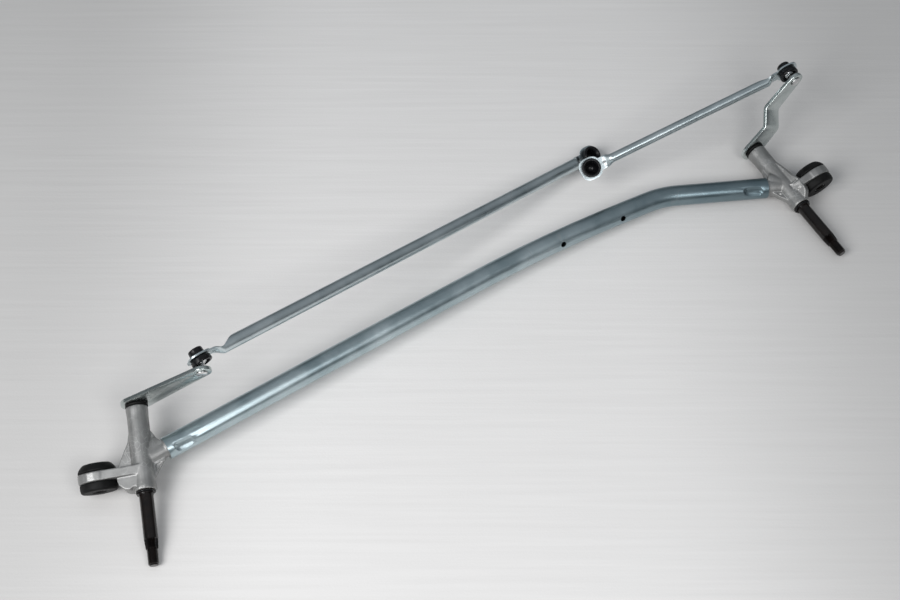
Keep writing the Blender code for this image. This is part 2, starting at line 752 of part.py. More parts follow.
def grommet_sleeve(side):
    """A steel spacer through the grommet."""
    half = EYE_THICKNESS / 2 + SEAT_GAP + GROMMET_LIP - SLEEVE_RECESS
    profile = [(SLEEVE_BORE_RADIUS, -half), (SLEEVE_RADIUS, -half), (SLEEVE_RADIUS, half),
               (SLEEVE_BORE_RADIUS, half)]
    name = side + "_grommet_sleeve"
    return place(name, turned_mesh(name, profile), black_steel(), FRAME_EMPTY, grommet_matrix(side))


def clip_levels():
    """Heights of the washer and the clip under the barrel, from the top down."""
    washer_top = -BARREL_FOOT - SEAT_GAP
    washer_low = washer_top - WASHER_HEIGHT
    clip_top = washer_low - SEAT_GAP
    clip_low = clip_top - CLIP_HEIGHT
    return washer_top, washer_low, clip_top, clip_low


def spindle(side):
    """The shaft: riveted into the crank at the top, threaded at the tip."""
    clip_top, clip_low = clip_levels()[2:]
    thread_top = -SPINDLE_LENGTH + THREAD_LENGTH
    cone_top = thread_top + CONE_LENGTH
    head_low = CRANK_THICKNESS + SEAT_GAP
    head_top = head_low + RIVET_HEAD_HEIGHT
    groove = SEAT_GAP
    profile = [(0.0, -SPINDLE_LENGTH), (THREAD_RADIUS - THREAD_TIP, -SPINDLE_LENGTH),
               (THREAD_RADIUS, -SPINDLE_LENGTH + THREAD_TIP), (THREAD_RADIUS, thread_top),
               (CONE_END_RADIUS, thread_top + 0.0004), (SPINDLE_RADIUS - 0.0002, cone_top),
               (SPINDLE_RADIUS, cone_top + 0.0004),
               (SPINDLE_RADIUS, clip_low - groove), (CLIP_GROOVE_RADIUS, clip_low - groove),
               (CLIP_GROOVE_RADIUS, clip_top + groove), (SPINDLE_RADIUS, clip_top + groove),
               (SPINDLE_RADIUS, -SEAT_GAP), (CRANK_SEAT_RADIUS, -SEAT_GAP),
               (CRANK_SEAT_RADIUS, head_low), (RIVET_HEAD_RADIUS, head_low),
               (RIVET_HEAD_RADIUS, head_low + RIVET_HEAD_HEIGHT * 0.5),
               (RIVET_HEAD_RADIUS * 0.78, head_top), (0.0, head_top + 0.0002)]
    name = side + "_spindle"
    return place(name, turned_mesh(name, profile), black_steel(), PIVOT_EMPTY[side])


def ring(name, inner, outer, low, high, paint, parent):
    """A plain ring with softened outer edges."""
    edge = min(0.0004, (high - low) / 4)
    profile = [(inner, low), (outer - edge, low), (outer, low + edge), (outer, high - edge),
               (outer - edge, high), (inner, high)]
    return place(name, turned_mesh(name, profile), paint, parent)


def circlip(side):
    """An open spring clip in the spindle's groove."""
    clip_top, clip_low = clip_levels()[2:]
    inner = CLIP_GROOVE_RADIUS + SEAT_GAP
    profile = [(inner, clip_low), (CLIP_RADIUS, clip_low), (CLIP_RADIUS, clip_top), (inner, clip_top)]
    half = radians(CLIP_MOUTH / 2)
    name = side + "_circlip"
    mesh = turned_mesh(name, profile, SMALL_ROUND, half, 2 * pi - 2 * half)
    return place(name, mesh, black_steel(), PIVOT_EMPTY[side])


def crank_side_profile(side):
    """The crank seen along its plate: (outward, height), with its joggle."""
    length = CRANK_LENGTH[side] + 0.05
    rise = CRANK_JOGGLE[side]
    slope = radians(JOGGLE_SLOPE)
    start = JOGGLE_START
    end = JOGGLE_START + rise / tan(slope)
    corners = [Vector((-0.05, 0.0)), Vector((start, 0.0)), Vector((end, rise)), Vector((length, rise))]
    lower = rounded_path(corners, JOGGLE_BEND_RADIUS + CRANK_THICKNESS, JOGGLE_BEND_RADIUS)
    shifted = offset_path(corners, CRANK_THICKNESS)
    upper = rounded_path(shifted, JOGGLE_BEND_RADIUS, JOGGLE_BEND_RADIUS + CRANK_THICKNESS)
    return lower + list(reversed(upper))


def offset_path(corners, distance):
    """A path beside another, on its left."""
    shifted = []
    for index, corner in enumerate(corners):
        before = (corner - corners[index - 1]).normalized() if index else None
        after = (corners[index + 1] - corner).normalized() if index + 1 < len(corners) else None
        before = before or after
        after = after or before
        normal = (Vector((-before.y, before.x)) + Vector((-after.y, after.x))).normalized()
        stretch = distance / max(0.2, normal.dot(Vector((-before.y, before.x))))
        shifted.append(corner + normal * stretch)
    return shifted


def rounded_path(corners, left_turn_radius, right_turn_radius):
    """Fillet the corners of a path: one radius for left turns, one for right turns."""
    points = [tuple(corners[0])]
    for before, corner, after in zip(corners, corners[1:], corners[2:]):
        into = (corner - before).normalized()
        out = (after - corner).normalized()
        cross = into.x * out.y - into.y * out.x
        if abs(cross) < 1e-6:
            continue
        turn = abs(asin(cross))
        radius = right_turn_radius if cross < 0 else left_turn_radius
        reach = radius * tan(turn / 2)
        start = corner - into * reach
        end = corner + out * reach
        steps = 5
        for step in range(steps + 1):
            share = step / steps
            first = start.lerp(corner, share)
            second = corner.lerp(end, share)
            points.append(tuple(first.lerp(second, share)))
    points.append(tuple(corners[-1]))
    return points


def crank(side):
    """A flat or joggled plate: its side profile, trimmed to its plan outline."""
    length = CRANK_LENGTH[side]
    turn = UP_SIGN[side] * radians(CRANK_ANGLE[side])
    outline = two_circle_outline(CRANK_HUB_RADIUS, CRANK_END_RADIUS, length, 16)
    name = side + "_crank"
    if CRANK_JOGGLE[side] > 0:
        half = CRANK_HUB_RADIUS + 0.005
        sheet = prism_mesh("sheet", crank_side_profile(side), -half, half)
        sheet.transform(Matrix.Rotation(pi / 2, 4, "X"))
        plate = helper(sheet)
        plan = helper(prism_mesh("plan", outline, -0.02, CRANK_JOGGLE[side] + 0.02))
        joined(plate, [plan], "INTERSECT")
    else:
        plate = helper(prism_mesh("plate", outline, 0.0, CRANK_THICKNESS))
    hub_hole = round_cutter(CRANK_SEAT_RADIUS + SEAT_GAP, (0.0, 0.0))
    stud_hole = round_cutter(STUD_RADIUS + SEAT_GAP, (length, 0.0))
    joined(plate, [hub_hole, stud_hole], "DIFFERENCE")
    mesh = plate.data
    bpy.data.objects.remove(plate, do_unlink=True)
    mesh.name = name
    made = place(name, mesh, zinc(), PIVOT_EMPTY[side], Matrix.Rotation(turn, 4, "Z"))
    soften = made.modifiers.new("soften_edges", "BEVEL")
    soften.width = CRANK_EDGE
    soften.segments = 1
    soften.limit_method = "ANGLE"
    soften.angle_limit = radians(50.0)
    return made


def round_cutter(radius, centre):
    profile = [(0.0, -0.05), (radius, -0.05), (radius, 0.05), (0.0, 0.05)]
    return helper(turned_mesh("drill", profile, SMALL_ROUND), Matrix.Translation((*centre, 0.0)))


def stud_matrix(side):
    """On the crank's face at its far end, square to the plate."""
    turn = Matrix.Rotation(UP_SIGN[side] * radians(CRANK_ANGLE[side]), 4, "Z")
    face = CRANK_JOGGLE[side] + CRANK_THICKNESS
    return turn @ Matrix.Translation((CRANK_LENGTH[side], 0.0, face))


def ball_stud(side):
    """Ball, shank, collar, and the head that rivets it to the crank."""
    head_top = -CRANK_THICKNESS - SEAT_GAP
    head_low = head_top - STUD_HEAD_HEIGHT
    collar_low = SEAT_GAP
    collar_top = collar_low + STUD_COLLAR_HEIGHT
    dip = degrees(asin(sqrt(BALL_RADIUS ** 2 - STUD_RADIUS ** 2) / BALL_RADIUS))
    ball = arc((0.0, BALL_HEIGHT), BALL_RADIUS, -dip, 80.0, 7)
    profile = [(0.0, head_low), (STUD_COLLAR_RADIUS * 0.7, head_low + 0.0002),
               (STUD_COLLAR_RADIUS, head_low + STUD_HEAD_HEIGHT * 0.55), (STUD_COLLAR_RADIUS, head_top),
               (STUD_RADIUS, head_top), (STUD_RADIUS, collar_low), (STUD_COLLAR_RADIUS, collar_low),
               (STUD_COLLAR_RADIUS, collar_top), (STUD_RADIUS, collar_top + 0.0003)]
    profile += ball + [(0.0, ball[-1][1])]
    name = side + "_ball_stud"
    mesh = turned_mesh(name, profile, SMALL_ROUND)
    return place(name, mesh, bare_steel(), PIVOT_EMPTY[side], stud_matrix(side))


def ball_point(side):
    return PIVOT[side] @ stud_matrix(side) @ Vector((0.0, 0.0, BALL_HEIGHT))


LINK_SIDE = {"long": "left", "short": "right"}


def link_way(link):
    slope = radians(LINK_SLOPE[link])
    heading = radians(LINK_HEADING[link])
    return Vector((cos(heading) * cos(slope), sin(heading) * cos(slope), sin(slope)))


def link_frame(link):
    """X runs to the far ball, Z is the near eye's cap side, leaning least from its stud."""
    side = LINK_SIDE[link]
    way = link_way(link)
    cap = -TIP_WAY[side]
    cap = (cap - way * cap.dot(way)).normalized()
    y_axis = cap.cross(way)
    matrix = Matrix((way, y_axis, cap)).transposed().to_4x4()
    matrix.translation = ball_point(side)
    return matrix


def far_matrix(link):
    """The far ball joint's frame, seen from the near one's."""
    twist = Matrix.Rotation(radians(LINK_TWIST[link]), 4, "X")
    return Matrix.Translation((LINK_LENGTH[link], 0.0, 0.0)) @ twist


def link_shape(link, distance):
    """Half width, curl and spine height of the sheet at a distance from the nearer ball."""
    rolled_radius = LINK_TUBE_RADIUS[link] - SHEET / 2
    rolled_half = pi * rolled_radius - LINK_SEAM / 2
    eye = 0.0
    if abs(distance) < EYE_PLATE_RADIUS:
        power = EYE_PLATE_SQUARENESS
        eye = EYE_PLATE_RADIUS * (1.0 - (abs(distance) / EYE_PLATE_RADIUS) ** power) ** (1.0 / power)
    share = smooth((distance - LINK_NECK_AT) / (LINK_ROLL_END - LINK_NECK_AT))
    stem = 0.0
    if distance > 0:
        stem = LINK_NECK_HALF_WIDTH + (rolled_half - LINK_NECK_HALF_WIDTH) * share
    curl = smooth((distance - LINK_NECK_AT + 0.003) / (LINK_ROLL_END - LINK_NECK_AT + 0.003)) / rolled_radius
    spine = PLATE_ABOVE_BALL + (rolled_radius - PLATE_ABOVE_BALL) * share
    return max(eye, stem), curl, spine


def link_distances():
    """Where the sheet's sections are taken near each end, from the ball's centre."""
    end = -EYE_PLATE_RADIUS * 0.985
    stations = [end, end * 0.90, end * 0.70, end * 0.35]
    stations += [EYE_PLATE_RADIUS * share for share in (0.05, 0.50, 0.78, 0.93)]
    stations += [0.0142, LINK_NECK_AT]
    step = (LINK_ROLL_END - LINK_NECK_AT) / 6
    stations += [LINK_NECK_AT + step * index for index in range(1, 7)]
    return stations


def link_rod(link, parent):
    """Sheet rolled into a tube, with a flat eye at each end; the eyes are twisted apart."""
    length = LINK_LENGTH[link]
    across = 12
    near = link_distances()
    middle_steps = 4
    gap = (length - 2 * LINK_ROLL_END) / (middle_steps + 1)
    middle = [LINK_ROLL_END + gap * (index + 1) for index in range(middle_steps)]
    stations = near + middle + [length - value for value in reversed(near)]
    shape = bmesh.new()
    loops = []
    for along in stations:
        distance = min(along, length - along)
        half, curl, spine = link_shape(link, distance)
        share = (along - LINK_ROLL_END) / (length - 2 * LINK_ROLL_END)
        twist = radians(LINK_TWIST[link]) * min(1.0, max(0.0, share))
        loops.append(sheet_section(shape, along, half, curl, spine, twist, across))
    for here, there in zip(loops, loops[1:]):
        count = len(here)
        for index in range(count):
            after = (index + 1) % count
            shape.faces.new((here[index], here[after], there[after], there[index]))
    for end in (loops[0], loops[-1]):
        for index in range(across):
            opposite = 2 * across + 1 - index
            shape.faces.new((end[index], end[index + 1], end[opposite - 1], end[opposite]))
    rod = helper(mesh_of(shape, link + "_link_rod"))
    drills = []
    for end_matrix in (Matrix.Identity(4), far_matrix(link)):
        inward = 1.0 if end_matrix == Matrix.Identity(4) else -1.0
        hole = round_cutter(SOCKET_NECK_RADIUS + SEAT_GAP, (0.0, 0.0))
        hole.matrix_world = end_matrix
        hole.scale = (1.0, 1.0, 0.3)
        drain = round_cutter(DRAIN_HOLE_RADIUS, (0.0, 0.0))
        drain.matrix_world = end_matrix @ Matrix.Translation((inward * DRAIN_HOLE_AT, 0.0, 0.0))
        drain.scale = (1.0, 1.0, 0.3)
        drills += [hole, drain]
    joined(rod, drills, "DIFFERENCE")
    mesh = rod.data
    bpy.data.objects.remove(rod, do_unlink=True)
    name = link + "_link_rod"
    mesh.name = name
    return finished(place(name, mesh, zinc(), parent))


def sheet_section(shape, along, half, curl, spine, twist, across):
    """One section of the sheet: its outer face from edge to edge, then its inner face back."""
    outer = []
    inner = []
    for index in range(across + 1):
        span = half * (2.0 * index / across - 1.0)
        angle = curl * span
        if curl > 1e-6:
            side_way = sin(angle) / curl
            drop = (1.0 - cos(angle)) / curl
        else:
            side_way = span
            drop = 0.0
        for skin, offset in ((outer, SHEET / 2), (inner, -SHEET / 2)):
            y = side_way + sin(angle) * offset
            z = spine - drop + cos(angle) * offset
            turned = (along, y * cos(twist) - z * sin(twist), y * sin(twist) + z * cos(twist))
            skin.append(shape.verts.new(turned))
    return outer + list(reversed(inner))


def ball_socket(name, parent, matrix):
    """A moulded cup, snapped into the link's eye: cap on one side, bell on the other."""
    cavity = BALL_RADIUS + RUNNING_GAP
    lip = degrees(asin(SOCKET_LIP_DEPTH / cavity))
    plate_low = PLATE_ABOVE_BALL - SHEET / 2
    plate_high = PLATE_ABOVE_BALL + SHEET / 2
    cap_top = plate_high + SOCKET_CAP_HEIGHT
    inside = arc((0.0, 0.0), cavity, 90.0, -lip, 6)
    inside[0] = (0.0, cavity)
    profile = inside + [
        (SOCKET_MOUTH_RADIUS, -SOCKET_MOUTH_DEPTH),
        (SOCKET_BELL_RADIUS - 0.0006, -SOCKET_MOUTH_DEPTH),
        (SOCKET_BELL_RADIUS, -SOCKET_MOUTH_DEPTH + 0.0010),
        (SOCKET_BELL_RADIUS - 0.0004, plate_low - SEAT_GAP - 0.0010),
        (SOCKET_BELL_RADIUS - 0.0012, plate_low - SEAT_GAP),
        (SOCKET_NECK_RADIUS, plate_low - SEAT_GAP),
        (SOCKET_NECK_RADIUS, plate_high + SEAT_GAP),
        (SOCKET_SNAP_RADIUS, plate_high + SEAT_GAP),
        (SOCKET_CAP_RADIUS, plate_high + 0.0022),
        (SOCKET_CAP_RADIUS - 0.0002, cap_top - 0.0008),
        (SOCKET_CAP_RADIUS - 0.0010, cap_top),
        (SOCKET_CAP_RADIUS * 0.42, cap_top),
        (SOCKET_CAP_RADIUS * 0.36, cap_top - 0.0008),
        (0.0, cap_top - 0.0008)]
    return place(name, turned_mesh(name, profile, SMALL_ROUND), black_plastic(), parent, matrix)


def stand_on_floor():
    """Slide the whole linkage so that its box's bottom centre is the world's origin."""
    bpy.context.view_layer.update()
    graph = bpy.context.evaluated_depsgraph_get()
    low = Vector((1e9, 1e9, 1e9))
    high = -low
    for item in bpy.data.objects:
        if item.type != "MESH":
            continue
        shown = item.evaluated_get(graph)
        for vertex in shown.data.vertices:
            spot = shown.matrix_world @ vertex.co
            for axis in range(3):
                low[axis] = min(low[axis], spot[axis])
                high[axis] = max(high[axis], spot[axis])
    shift = Vector((-(low.x + high.x) / 2, -(low.y + high.y) / 2, -low.z))
    for item in bpy.data.objects:
        if item.parent is None:
            item.location += shift
    bpy.context.view_layer.update()


remove_everything()
FRAME_EMPTY = empty("frame_axis", Matrix.Identity(4))
PIVOT_EMPTY = {side: empty(side + "_pivot_axis", PIVOT[side]) for side in SEAT}
LINK_EMPTY = {link: empty(link + "_link_axis", link_frame(link)) for link in LINK_SIDE}

frame_tube()
for side in SEAT:
    pivot_housing(side)
    bush(side, "upper", -BARREL_TOP - 0.0008)
    bush(side, "lower", -BARREL_FOOT + 0.0008 + BUSH_LENGTH)
    grommet(side)
    grommet_sleeve(side)
    spindle(side)
    crank(side)
    ball_stud(side)
    washer_top, washer_low = clip_levels()[:2]
    ring(side + "_seal_ring", bush_inner_radius(), SEAL_RADIUS, -SEAT_GAP - SEAL_HEIGHT, -SEAT_GAP,
         rubber(), PIVOT_EMPTY[side])
    ring(side + "_lower_washer", bush_inner_radius(), WASHER_RADIUS, washer_low, washer_top,
         black_plastic(), PIVOT_EMPTY[side])
    circlip(side)
for link in LINK_SIDE:
    link_rod(link, LINK_EMPTY[link])
    ball_socket(link + "_link_near_socket", LINK_EMPTY[link], Matrix.Identity(4))
    ball_socket(link + "_link_far_socket", LINK_EMPTY[link], far_matrix(link))
stand_on_floor()
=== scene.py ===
# %% [markdown]
# # A windscreen wiper linkage
#
# This file dresses the solid model of a wiper linkage: a bent steel tube between two cast
# housings, a spindle with a crank in each, and two rods rolled from sheet that hang on the
# cranks by ball joints. Here each one gets eased edges and a real finish, and some get the
# details that a maker would look for: soft cast fillets, rolled sheet, threads, serrations and
# machined rims. The frame must load first, because every piece is placed by it.

import json
from math import cos, pi, radians, sin

import bpy
from mathutils import Matrix, Vector

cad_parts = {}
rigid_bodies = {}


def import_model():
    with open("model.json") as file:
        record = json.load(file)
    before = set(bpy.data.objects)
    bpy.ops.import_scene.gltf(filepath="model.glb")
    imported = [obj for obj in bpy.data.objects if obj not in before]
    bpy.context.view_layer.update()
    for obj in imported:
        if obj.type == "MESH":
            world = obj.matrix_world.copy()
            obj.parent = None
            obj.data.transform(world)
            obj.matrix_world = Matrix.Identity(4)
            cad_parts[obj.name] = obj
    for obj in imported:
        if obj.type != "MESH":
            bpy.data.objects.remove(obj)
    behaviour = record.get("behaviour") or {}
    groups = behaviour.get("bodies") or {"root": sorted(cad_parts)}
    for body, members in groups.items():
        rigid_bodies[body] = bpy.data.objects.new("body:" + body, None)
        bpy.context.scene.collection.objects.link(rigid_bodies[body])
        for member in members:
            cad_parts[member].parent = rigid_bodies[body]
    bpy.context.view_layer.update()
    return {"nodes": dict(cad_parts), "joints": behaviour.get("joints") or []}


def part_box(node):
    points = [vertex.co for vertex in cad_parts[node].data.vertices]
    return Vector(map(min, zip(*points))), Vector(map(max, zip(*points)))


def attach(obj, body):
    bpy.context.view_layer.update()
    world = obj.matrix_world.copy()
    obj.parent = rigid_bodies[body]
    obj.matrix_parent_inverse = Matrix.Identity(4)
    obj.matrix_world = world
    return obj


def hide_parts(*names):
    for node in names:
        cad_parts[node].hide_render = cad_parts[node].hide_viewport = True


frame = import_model()

# %% [markdown]
# ## Camera
#
# The linkage lies on a bench and is seen from above, from the side of its threaded tips. A
# 58 mm lens on a 36 mm sensor, 1.2 m above the bench and tipped 36 degrees off the vertical,
# gives the same lines as the photograph, so the camera is simply set there.

# %% Camera
LENS = 58.0
CAMERA_PLACE = Vector((-0.42872, -0.74510, 1.19997))
CAMERA_TURN = (radians(36.0), 0.0, radians(-28.35))

camera_data = bpy.data.cameras.new("bench_camera")
camera_data.lens = LENS
camera_data.sensor_width = 36.0
camera_data.clip_end = 20.0
camera = bpy.data.objects.new("bench_camera", camera_data)
bpy.context.scene.collection.objects.link(camera)
camera.location = CAMERA_PLACE
camera.rotation_euler = CAMERA_TURN
bpy.context.scene.camera = camera
bpy.context.scene.view_settings.view_transform = "Standard"
print("camera at", tuple(round(value, 3) for value in CAMERA_PLACE))

# %% [markdown]
# ## Tools for node trees
#
# Every finish below is a small node tree. Two helpers keep them readable: one adds a node and
# sets its values, the other starts a shared group with its sockets. They are plain functions, so
# each finish can be read as a list of what it is made of.


# %% Two helpers for nodes
def add_node(tree, kind, settings=None, **inputs):
    """Add a node, set its options, then set or wire its inputs by name."""
    made = tree.nodes.new(kind)
    for option, value in (settings or {}).items():
        setattr(made, option, value)
    for name, value in inputs.items():
        socket = made.inputs[name.replace("_", " ")]
        if isinstance(value, bpy.types.NodeSocket):
            tree.links.new(value, socket)
        else:
            socket.default_value = value
    return made


def new_group(name, inputs, outputs):
    """A node group with float or vector inputs and float outputs, and its two end nodes."""
    group = bpy.data.node_groups.new(name, "ShaderNodeTree")
    for label, start in inputs:
        kind = "NodeSocketVector" if start is None else "NodeSocketFloat"
        socket = group.interface.new_socket(name=label, in_out="INPUT", socket_type=kind)
        if start is not None:
            socket.default_value = start
    for label in outputs:
        group.interface.new_socket(name=label, in_out="OUTPUT", socket_type="NodeSocketFloat")
    return group, group.nodes.new("NodeGroupInput"), group.nodes.new("NodeGroupOutput")


print("helpers ready")

# %% [markdown]
# ## Fine grain
#
# Cast, moulded and plated skins all carry a fine grain. Two layers of noise make it: the coarse
# one clouds the colour, the fine one is the height for a bump, and either may vary the roughness.
# It is one shared group, so that each finish only chooses its own scales.

# %% Shared group: skin grain
grain, grain_in, grain_out = new_group(
    "skin grain", [("Vector", None), ("Cloud Scale", 60.0), ("Grain Scale", 900.0)],
    ["Cloud", "Height"])
cloud = add_node(grain, "ShaderNodeTexNoise", Vector=grain_in.outputs["Vector"],
                 Scale=grain_in.outputs["Cloud Scale"], Detail=4.0, Roughness=0.6)
cloud_level = add_node(grain, "ShaderNodeMapRange", Value=cloud.outputs["Fac"],
                       From_Min=0.32, From_Max=0.68)
fine = add_node(grain, "ShaderNodeTexNoise", Vector=grain_in.outputs["Vector"],
                Scale=grain_in.outputs["Grain Scale"], Detail=3.0, Roughness=0.55)
grain.links.new(cloud_level.outputs["Result"], grain_out.inputs["Cloud"])
grain.links.new(fine.outputs["Fac"], grain_out.inputs["Height"])
print("group:", grain.name)

# %% [markdown]
# ## Drawn marks
#
# Tube and rolled rods are pulled through dies and rollers, which leaves faint lines along them.
# The group turns the space until its X runs along the piece and squeezes it that way, so plain
# noise comes out as long streaks. The turn is given by each finish, because each rod points
# another way.

# %% Shared group: drawn marks
drawn, drawn_in, drawn_out = new_group(
    "drawn marks", [("Vector", None), ("Turn", None), ("Length", 0.05), ("Width", 0.0011)],
    ["Streak", "Fine Streak"])
squeeze = add_node(drawn, "ShaderNodeCombineXYZ", X=drawn_in.outputs["Length"],
                   Y=drawn_in.outputs["Width"], Z=drawn_in.outputs["Width"])
along = add_node(drawn, "ShaderNodeMapping", {"vector_type": "TEXTURE"},
                 Vector=drawn_in.outputs["Vector"], Rotation=drawn_in.outputs["Turn"],
                 Scale=squeeze.outputs["Vector"])
streak = add_node(drawn, "ShaderNodeTexNoise", Vector=along.outputs["Vector"],
                  Scale=0.6, Detail=2.0, Roughness=0.5)
hairline = add_node(drawn, "ShaderNodeTexNoise", Vector=along.outputs["Vector"],
                    Scale=3.0, Detail=3.0, Roughness=0.7)
drawn.links.new(streak.outputs["Fac"], drawn_out.inputs["Streak"])
drawn.links.new(hairline.outputs["Fac"], drawn_out.inputs["Fine Streak"])
print("group:", drawn.name)

# %% [markdown]
# ## Handling marks
#
# Nothing comes out of a works without small rubs. The borders of cells, bent by a little noise,
# give thin random scratches. A second noise keeps them to a few patches, and the group puts out
# one mask of them.

# %% Shared group: rub marks
rubs, rubs_in, rubs_out = new_group(
    "rub marks", [("Vector", None), ("Scale", 90.0), ("Amount", 0.04)], ["Rub"])
rub_warp = add_node(rubs, "ShaderNodeTexNoise", Vector=rubs_in.outputs["Vector"], Scale=30.0)
rub_space = add_node(rubs, "ShaderNodeMix", {"data_type": "VECTOR"}, Factor=0.03)
rubs.links.new(rubs_in.outputs["Vector"], rub_space.inputs[4])
rubs.links.new(rub_warp.outputs["Color"], rub_space.inputs[5])
rub_cells = add_node(rubs, "ShaderNodeTexVoronoi", {"feature": "DISTANCE_TO_EDGE"},
                     Scale=rubs_in.outputs["Scale"])
rubs.links.new(rub_space.outputs[1], rub_cells.inputs["Vector"])
rub_line = add_node(rubs, "ShaderNodeMapRange", Value=rub_cells.outputs["Distance"],
                    From_Min=0.0, From_Max=rubs_in.outputs["Amount"], To_Min=1.0, To_Max=0.0)
rub_patch = add_node(rubs, "ShaderNodeTexNoise", Vector=rubs_in.outputs["Vector"], Scale=45.0)
rub_where = add_node(rubs, "ShaderNodeMapRange", Value=rub_patch.outputs["Fac"],
                     From_Min=0.52, From_Max=0.66)
rub_mask = add_node(rubs, "ShaderNodeMath", {"operation": "MULTIPLY"})
rubs.links.new(rub_line.outputs["Result"], rub_mask.inputs[0])
rubs.links.new(rub_where.outputs["Result"], rub_mask.inputs[1])
rubs.links.new(rub_mask.outputs["Value"], rubs_out.inputs["Rub"])
print("group:", rubs.name)

# %% [markdown]
# ## Starting a finish
#
# Each finish starts from a Principled shader and the Object coordinates that its patterns read.
# Base colour and roughness are then wired from the groups, and a bump comes last. Object
# coordinates are right here because every piece keeps its place in its mesh.


# %% Helpers for a finish
def start_finish(name, metallic):
    """An empty material with a Principled shader and its coordinates."""
    finish = bpy.data.materials.new(name)
    finish.use_nodes = True
    tree = finish.node_tree
    tree.nodes.clear()
    shader = add_node(tree, "ShaderNodeBsdfPrincipled", Metallic=metallic)
    end = tree.nodes.new("ShaderNodeOutputMaterial")
    tree.links.new(shader.outputs["BSDF"], end.inputs["Surface"])
    place = tree.nodes.new("ShaderNodeTexCoord").outputs["Object"]
    return finish, tree, shader, place


def use_group(tree, group, **inputs):
    """Place a shared group in a finish."""
    return add_node(tree, "ShaderNodeGroup", {"node_tree": group}, **inputs)


def mix_colour(tree, factor, first, second):
    """Blend two colours by a mask and give the blended socket."""
    blend = add_node(tree, "ShaderNodeMix", {"data_type": "RGBA"}, Factor=factor)
    for socket, colour in ((blend.inputs[6], first), (blend.inputs[7], second)):
        if isinstance(colour, bpy.types.NodeSocket):
            tree.links.new(colour, socket)
        else:
            socket.default_value = (*colour, 1.0)
    return blend.outputs[2]


def spread(tree, value, low, high):
    """Stretch a mask between two values."""
    return add_node(tree, "ShaderNodeMapRange", Value=value, To_Min=low, To_Max=high).outputs["Result"]


def add_up(tree, first, second, share):
    """First plus a share of second."""
    sum_node = add_node(tree, "ShaderNodeMath", {"operation": "MULTIPLY_ADD"})
    for socket, value in zip(sum_node.inputs, (second, share, first)):
        if isinstance(value, bpy.types.NodeSocket):
            tree.links.new(value, socket)
        else:
            socket.default_value = value
    return sum_node.outputs["Value"]


def finish_bump(tree, shader, height, strength, distance):
    """Feed a height to the shader's normal through a bump."""
    bump = add_node(tree, "ShaderNodeBump", Height=height, Strength=strength, Distance=distance)
    tree.links.new(bump.outputs["Normal"], shader.inputs["Normal"])


print("finish helpers ready")

# %% [markdown]
# ## Bright zinc plate
#
# Tube and rods are steel plated with zinc and passivated, which leaves a blue-grey metal with
# cloudy patches, streaks along the drawn length and a few dull rubs. Colour and roughness both
# change from place to place, so that no stretch shines evenly. On the tube a painted shade darkens
# the colour toward the right end, by a slow blend along X. The same recipe serves three
# directions, so it is a function of the way each piece points.


# %% Zinc plate
def zinc_plate(name, way, light, dark, smooth=0.22, rough=0.34, painted_shade_to_right=0.0):
    """Zinc plate on a piece that is drawn along one way, with painted shade darkening it towards +X if
    asked.
    """
    finish, tree, shader, place = start_finish(name, 1.0)
    turn = way.to_track_quat("X", "Z").to_euler()
    bloom = use_group(tree, grain, Vector=place, Cloud_Scale=26.0, Grain_Scale=1500.0)
    marks = use_group(tree, drawn, Vector=place, Turn=turn[:], Length=0.06, Width=0.0012)
    rub = use_group(tree, rubs, Vector=place, Scale=70.0, Amount=0.03).outputs["Rub"]
    clouded = mix_colour(tree, bloom.outputs["Cloud"], dark, light)
    streaked = mix_colour(tree, spread(tree, marks.outputs["Streak"], 0.0, 0.5), clouded, light)
    # Painted shade: the colour is blended toward a dark teal toward +X, the tube's right end.
    across = add_node(tree, "ShaderNodeSeparateXYZ", Vector=place).outputs["X"]
    painted_right_shade = add_node(tree, "ShaderNodeMapRange", Value=across, From_Min=0.02, From_Max=0.34,
                    To_Max=painted_shade_to_right).outputs["Result"]
    with_painted_shade = mix_colour(tree, painted_right_shade, streaked, (0.13, 0.19, 0.22))
    tree.links.new(mix_colour(tree, spread(tree, rub, 0.0, 0.35), with_painted_shade, (0.40, 0.41, 0.42)),
                   shader.inputs["Base Color"])
    dull = spread(tree, bloom.outputs["Cloud"], smooth, rough)
    dull = add_up(tree, dull, marks.outputs["Fine Streak"], 0.08)
    tree.links.new(add_up(tree, dull, rub, 0.20), shader.inputs["Roughness"])
    height = add_up(tree, marks.outputs["Fine Streak"], bloom.outputs["Height"], 0.35)
    finish_bump(tree, shader, height, 0.10, 0.0003)
    return finish


TUBE_WAY = Vector((0.98, 0.05, -0.02))
TUBE_LIGHT = (0.55, 0.64, 0.67)
TUBE_DARK = (0.29, 0.38, 0.41)
LONG_ROD_WAY = Vector((0.96565, 0.19998, -0.16591))
SHORT_ROD_WAY = Vector((-0.97114, 0.08838, -0.22155))
ROD_LIGHT = (0.66, 0.73, 0.75)
ROD_DARK = (0.42, 0.49, 0.51)
tube_zinc = zinc_plate("tube zinc plate", TUBE_WAY, TUBE_LIGHT, TUBE_DARK,
                       smooth=0.26, rough=0.38, painted_shade_to_right=0.80)
long_rod_zinc = zinc_plate("long rod zinc plate", LONG_ROD_WAY, ROD_LIGHT, ROD_DARK)
short_rod_zinc = zinc_plate("short rod zinc plate", SHORT_ROD_WAY, ROD_LIGHT, ROD_DARK)
print("zinc finishes:", tube_zinc.name, long_rod_zinc.name, short_rod_zinc.name)

# %% [markdown]
# ## Crank zinc
#
# The cranks are stamped from thick plate and plated in a drum, so they are paler and a little
# greener than the tube, and carry no streaks, only clouds and many small knocks.

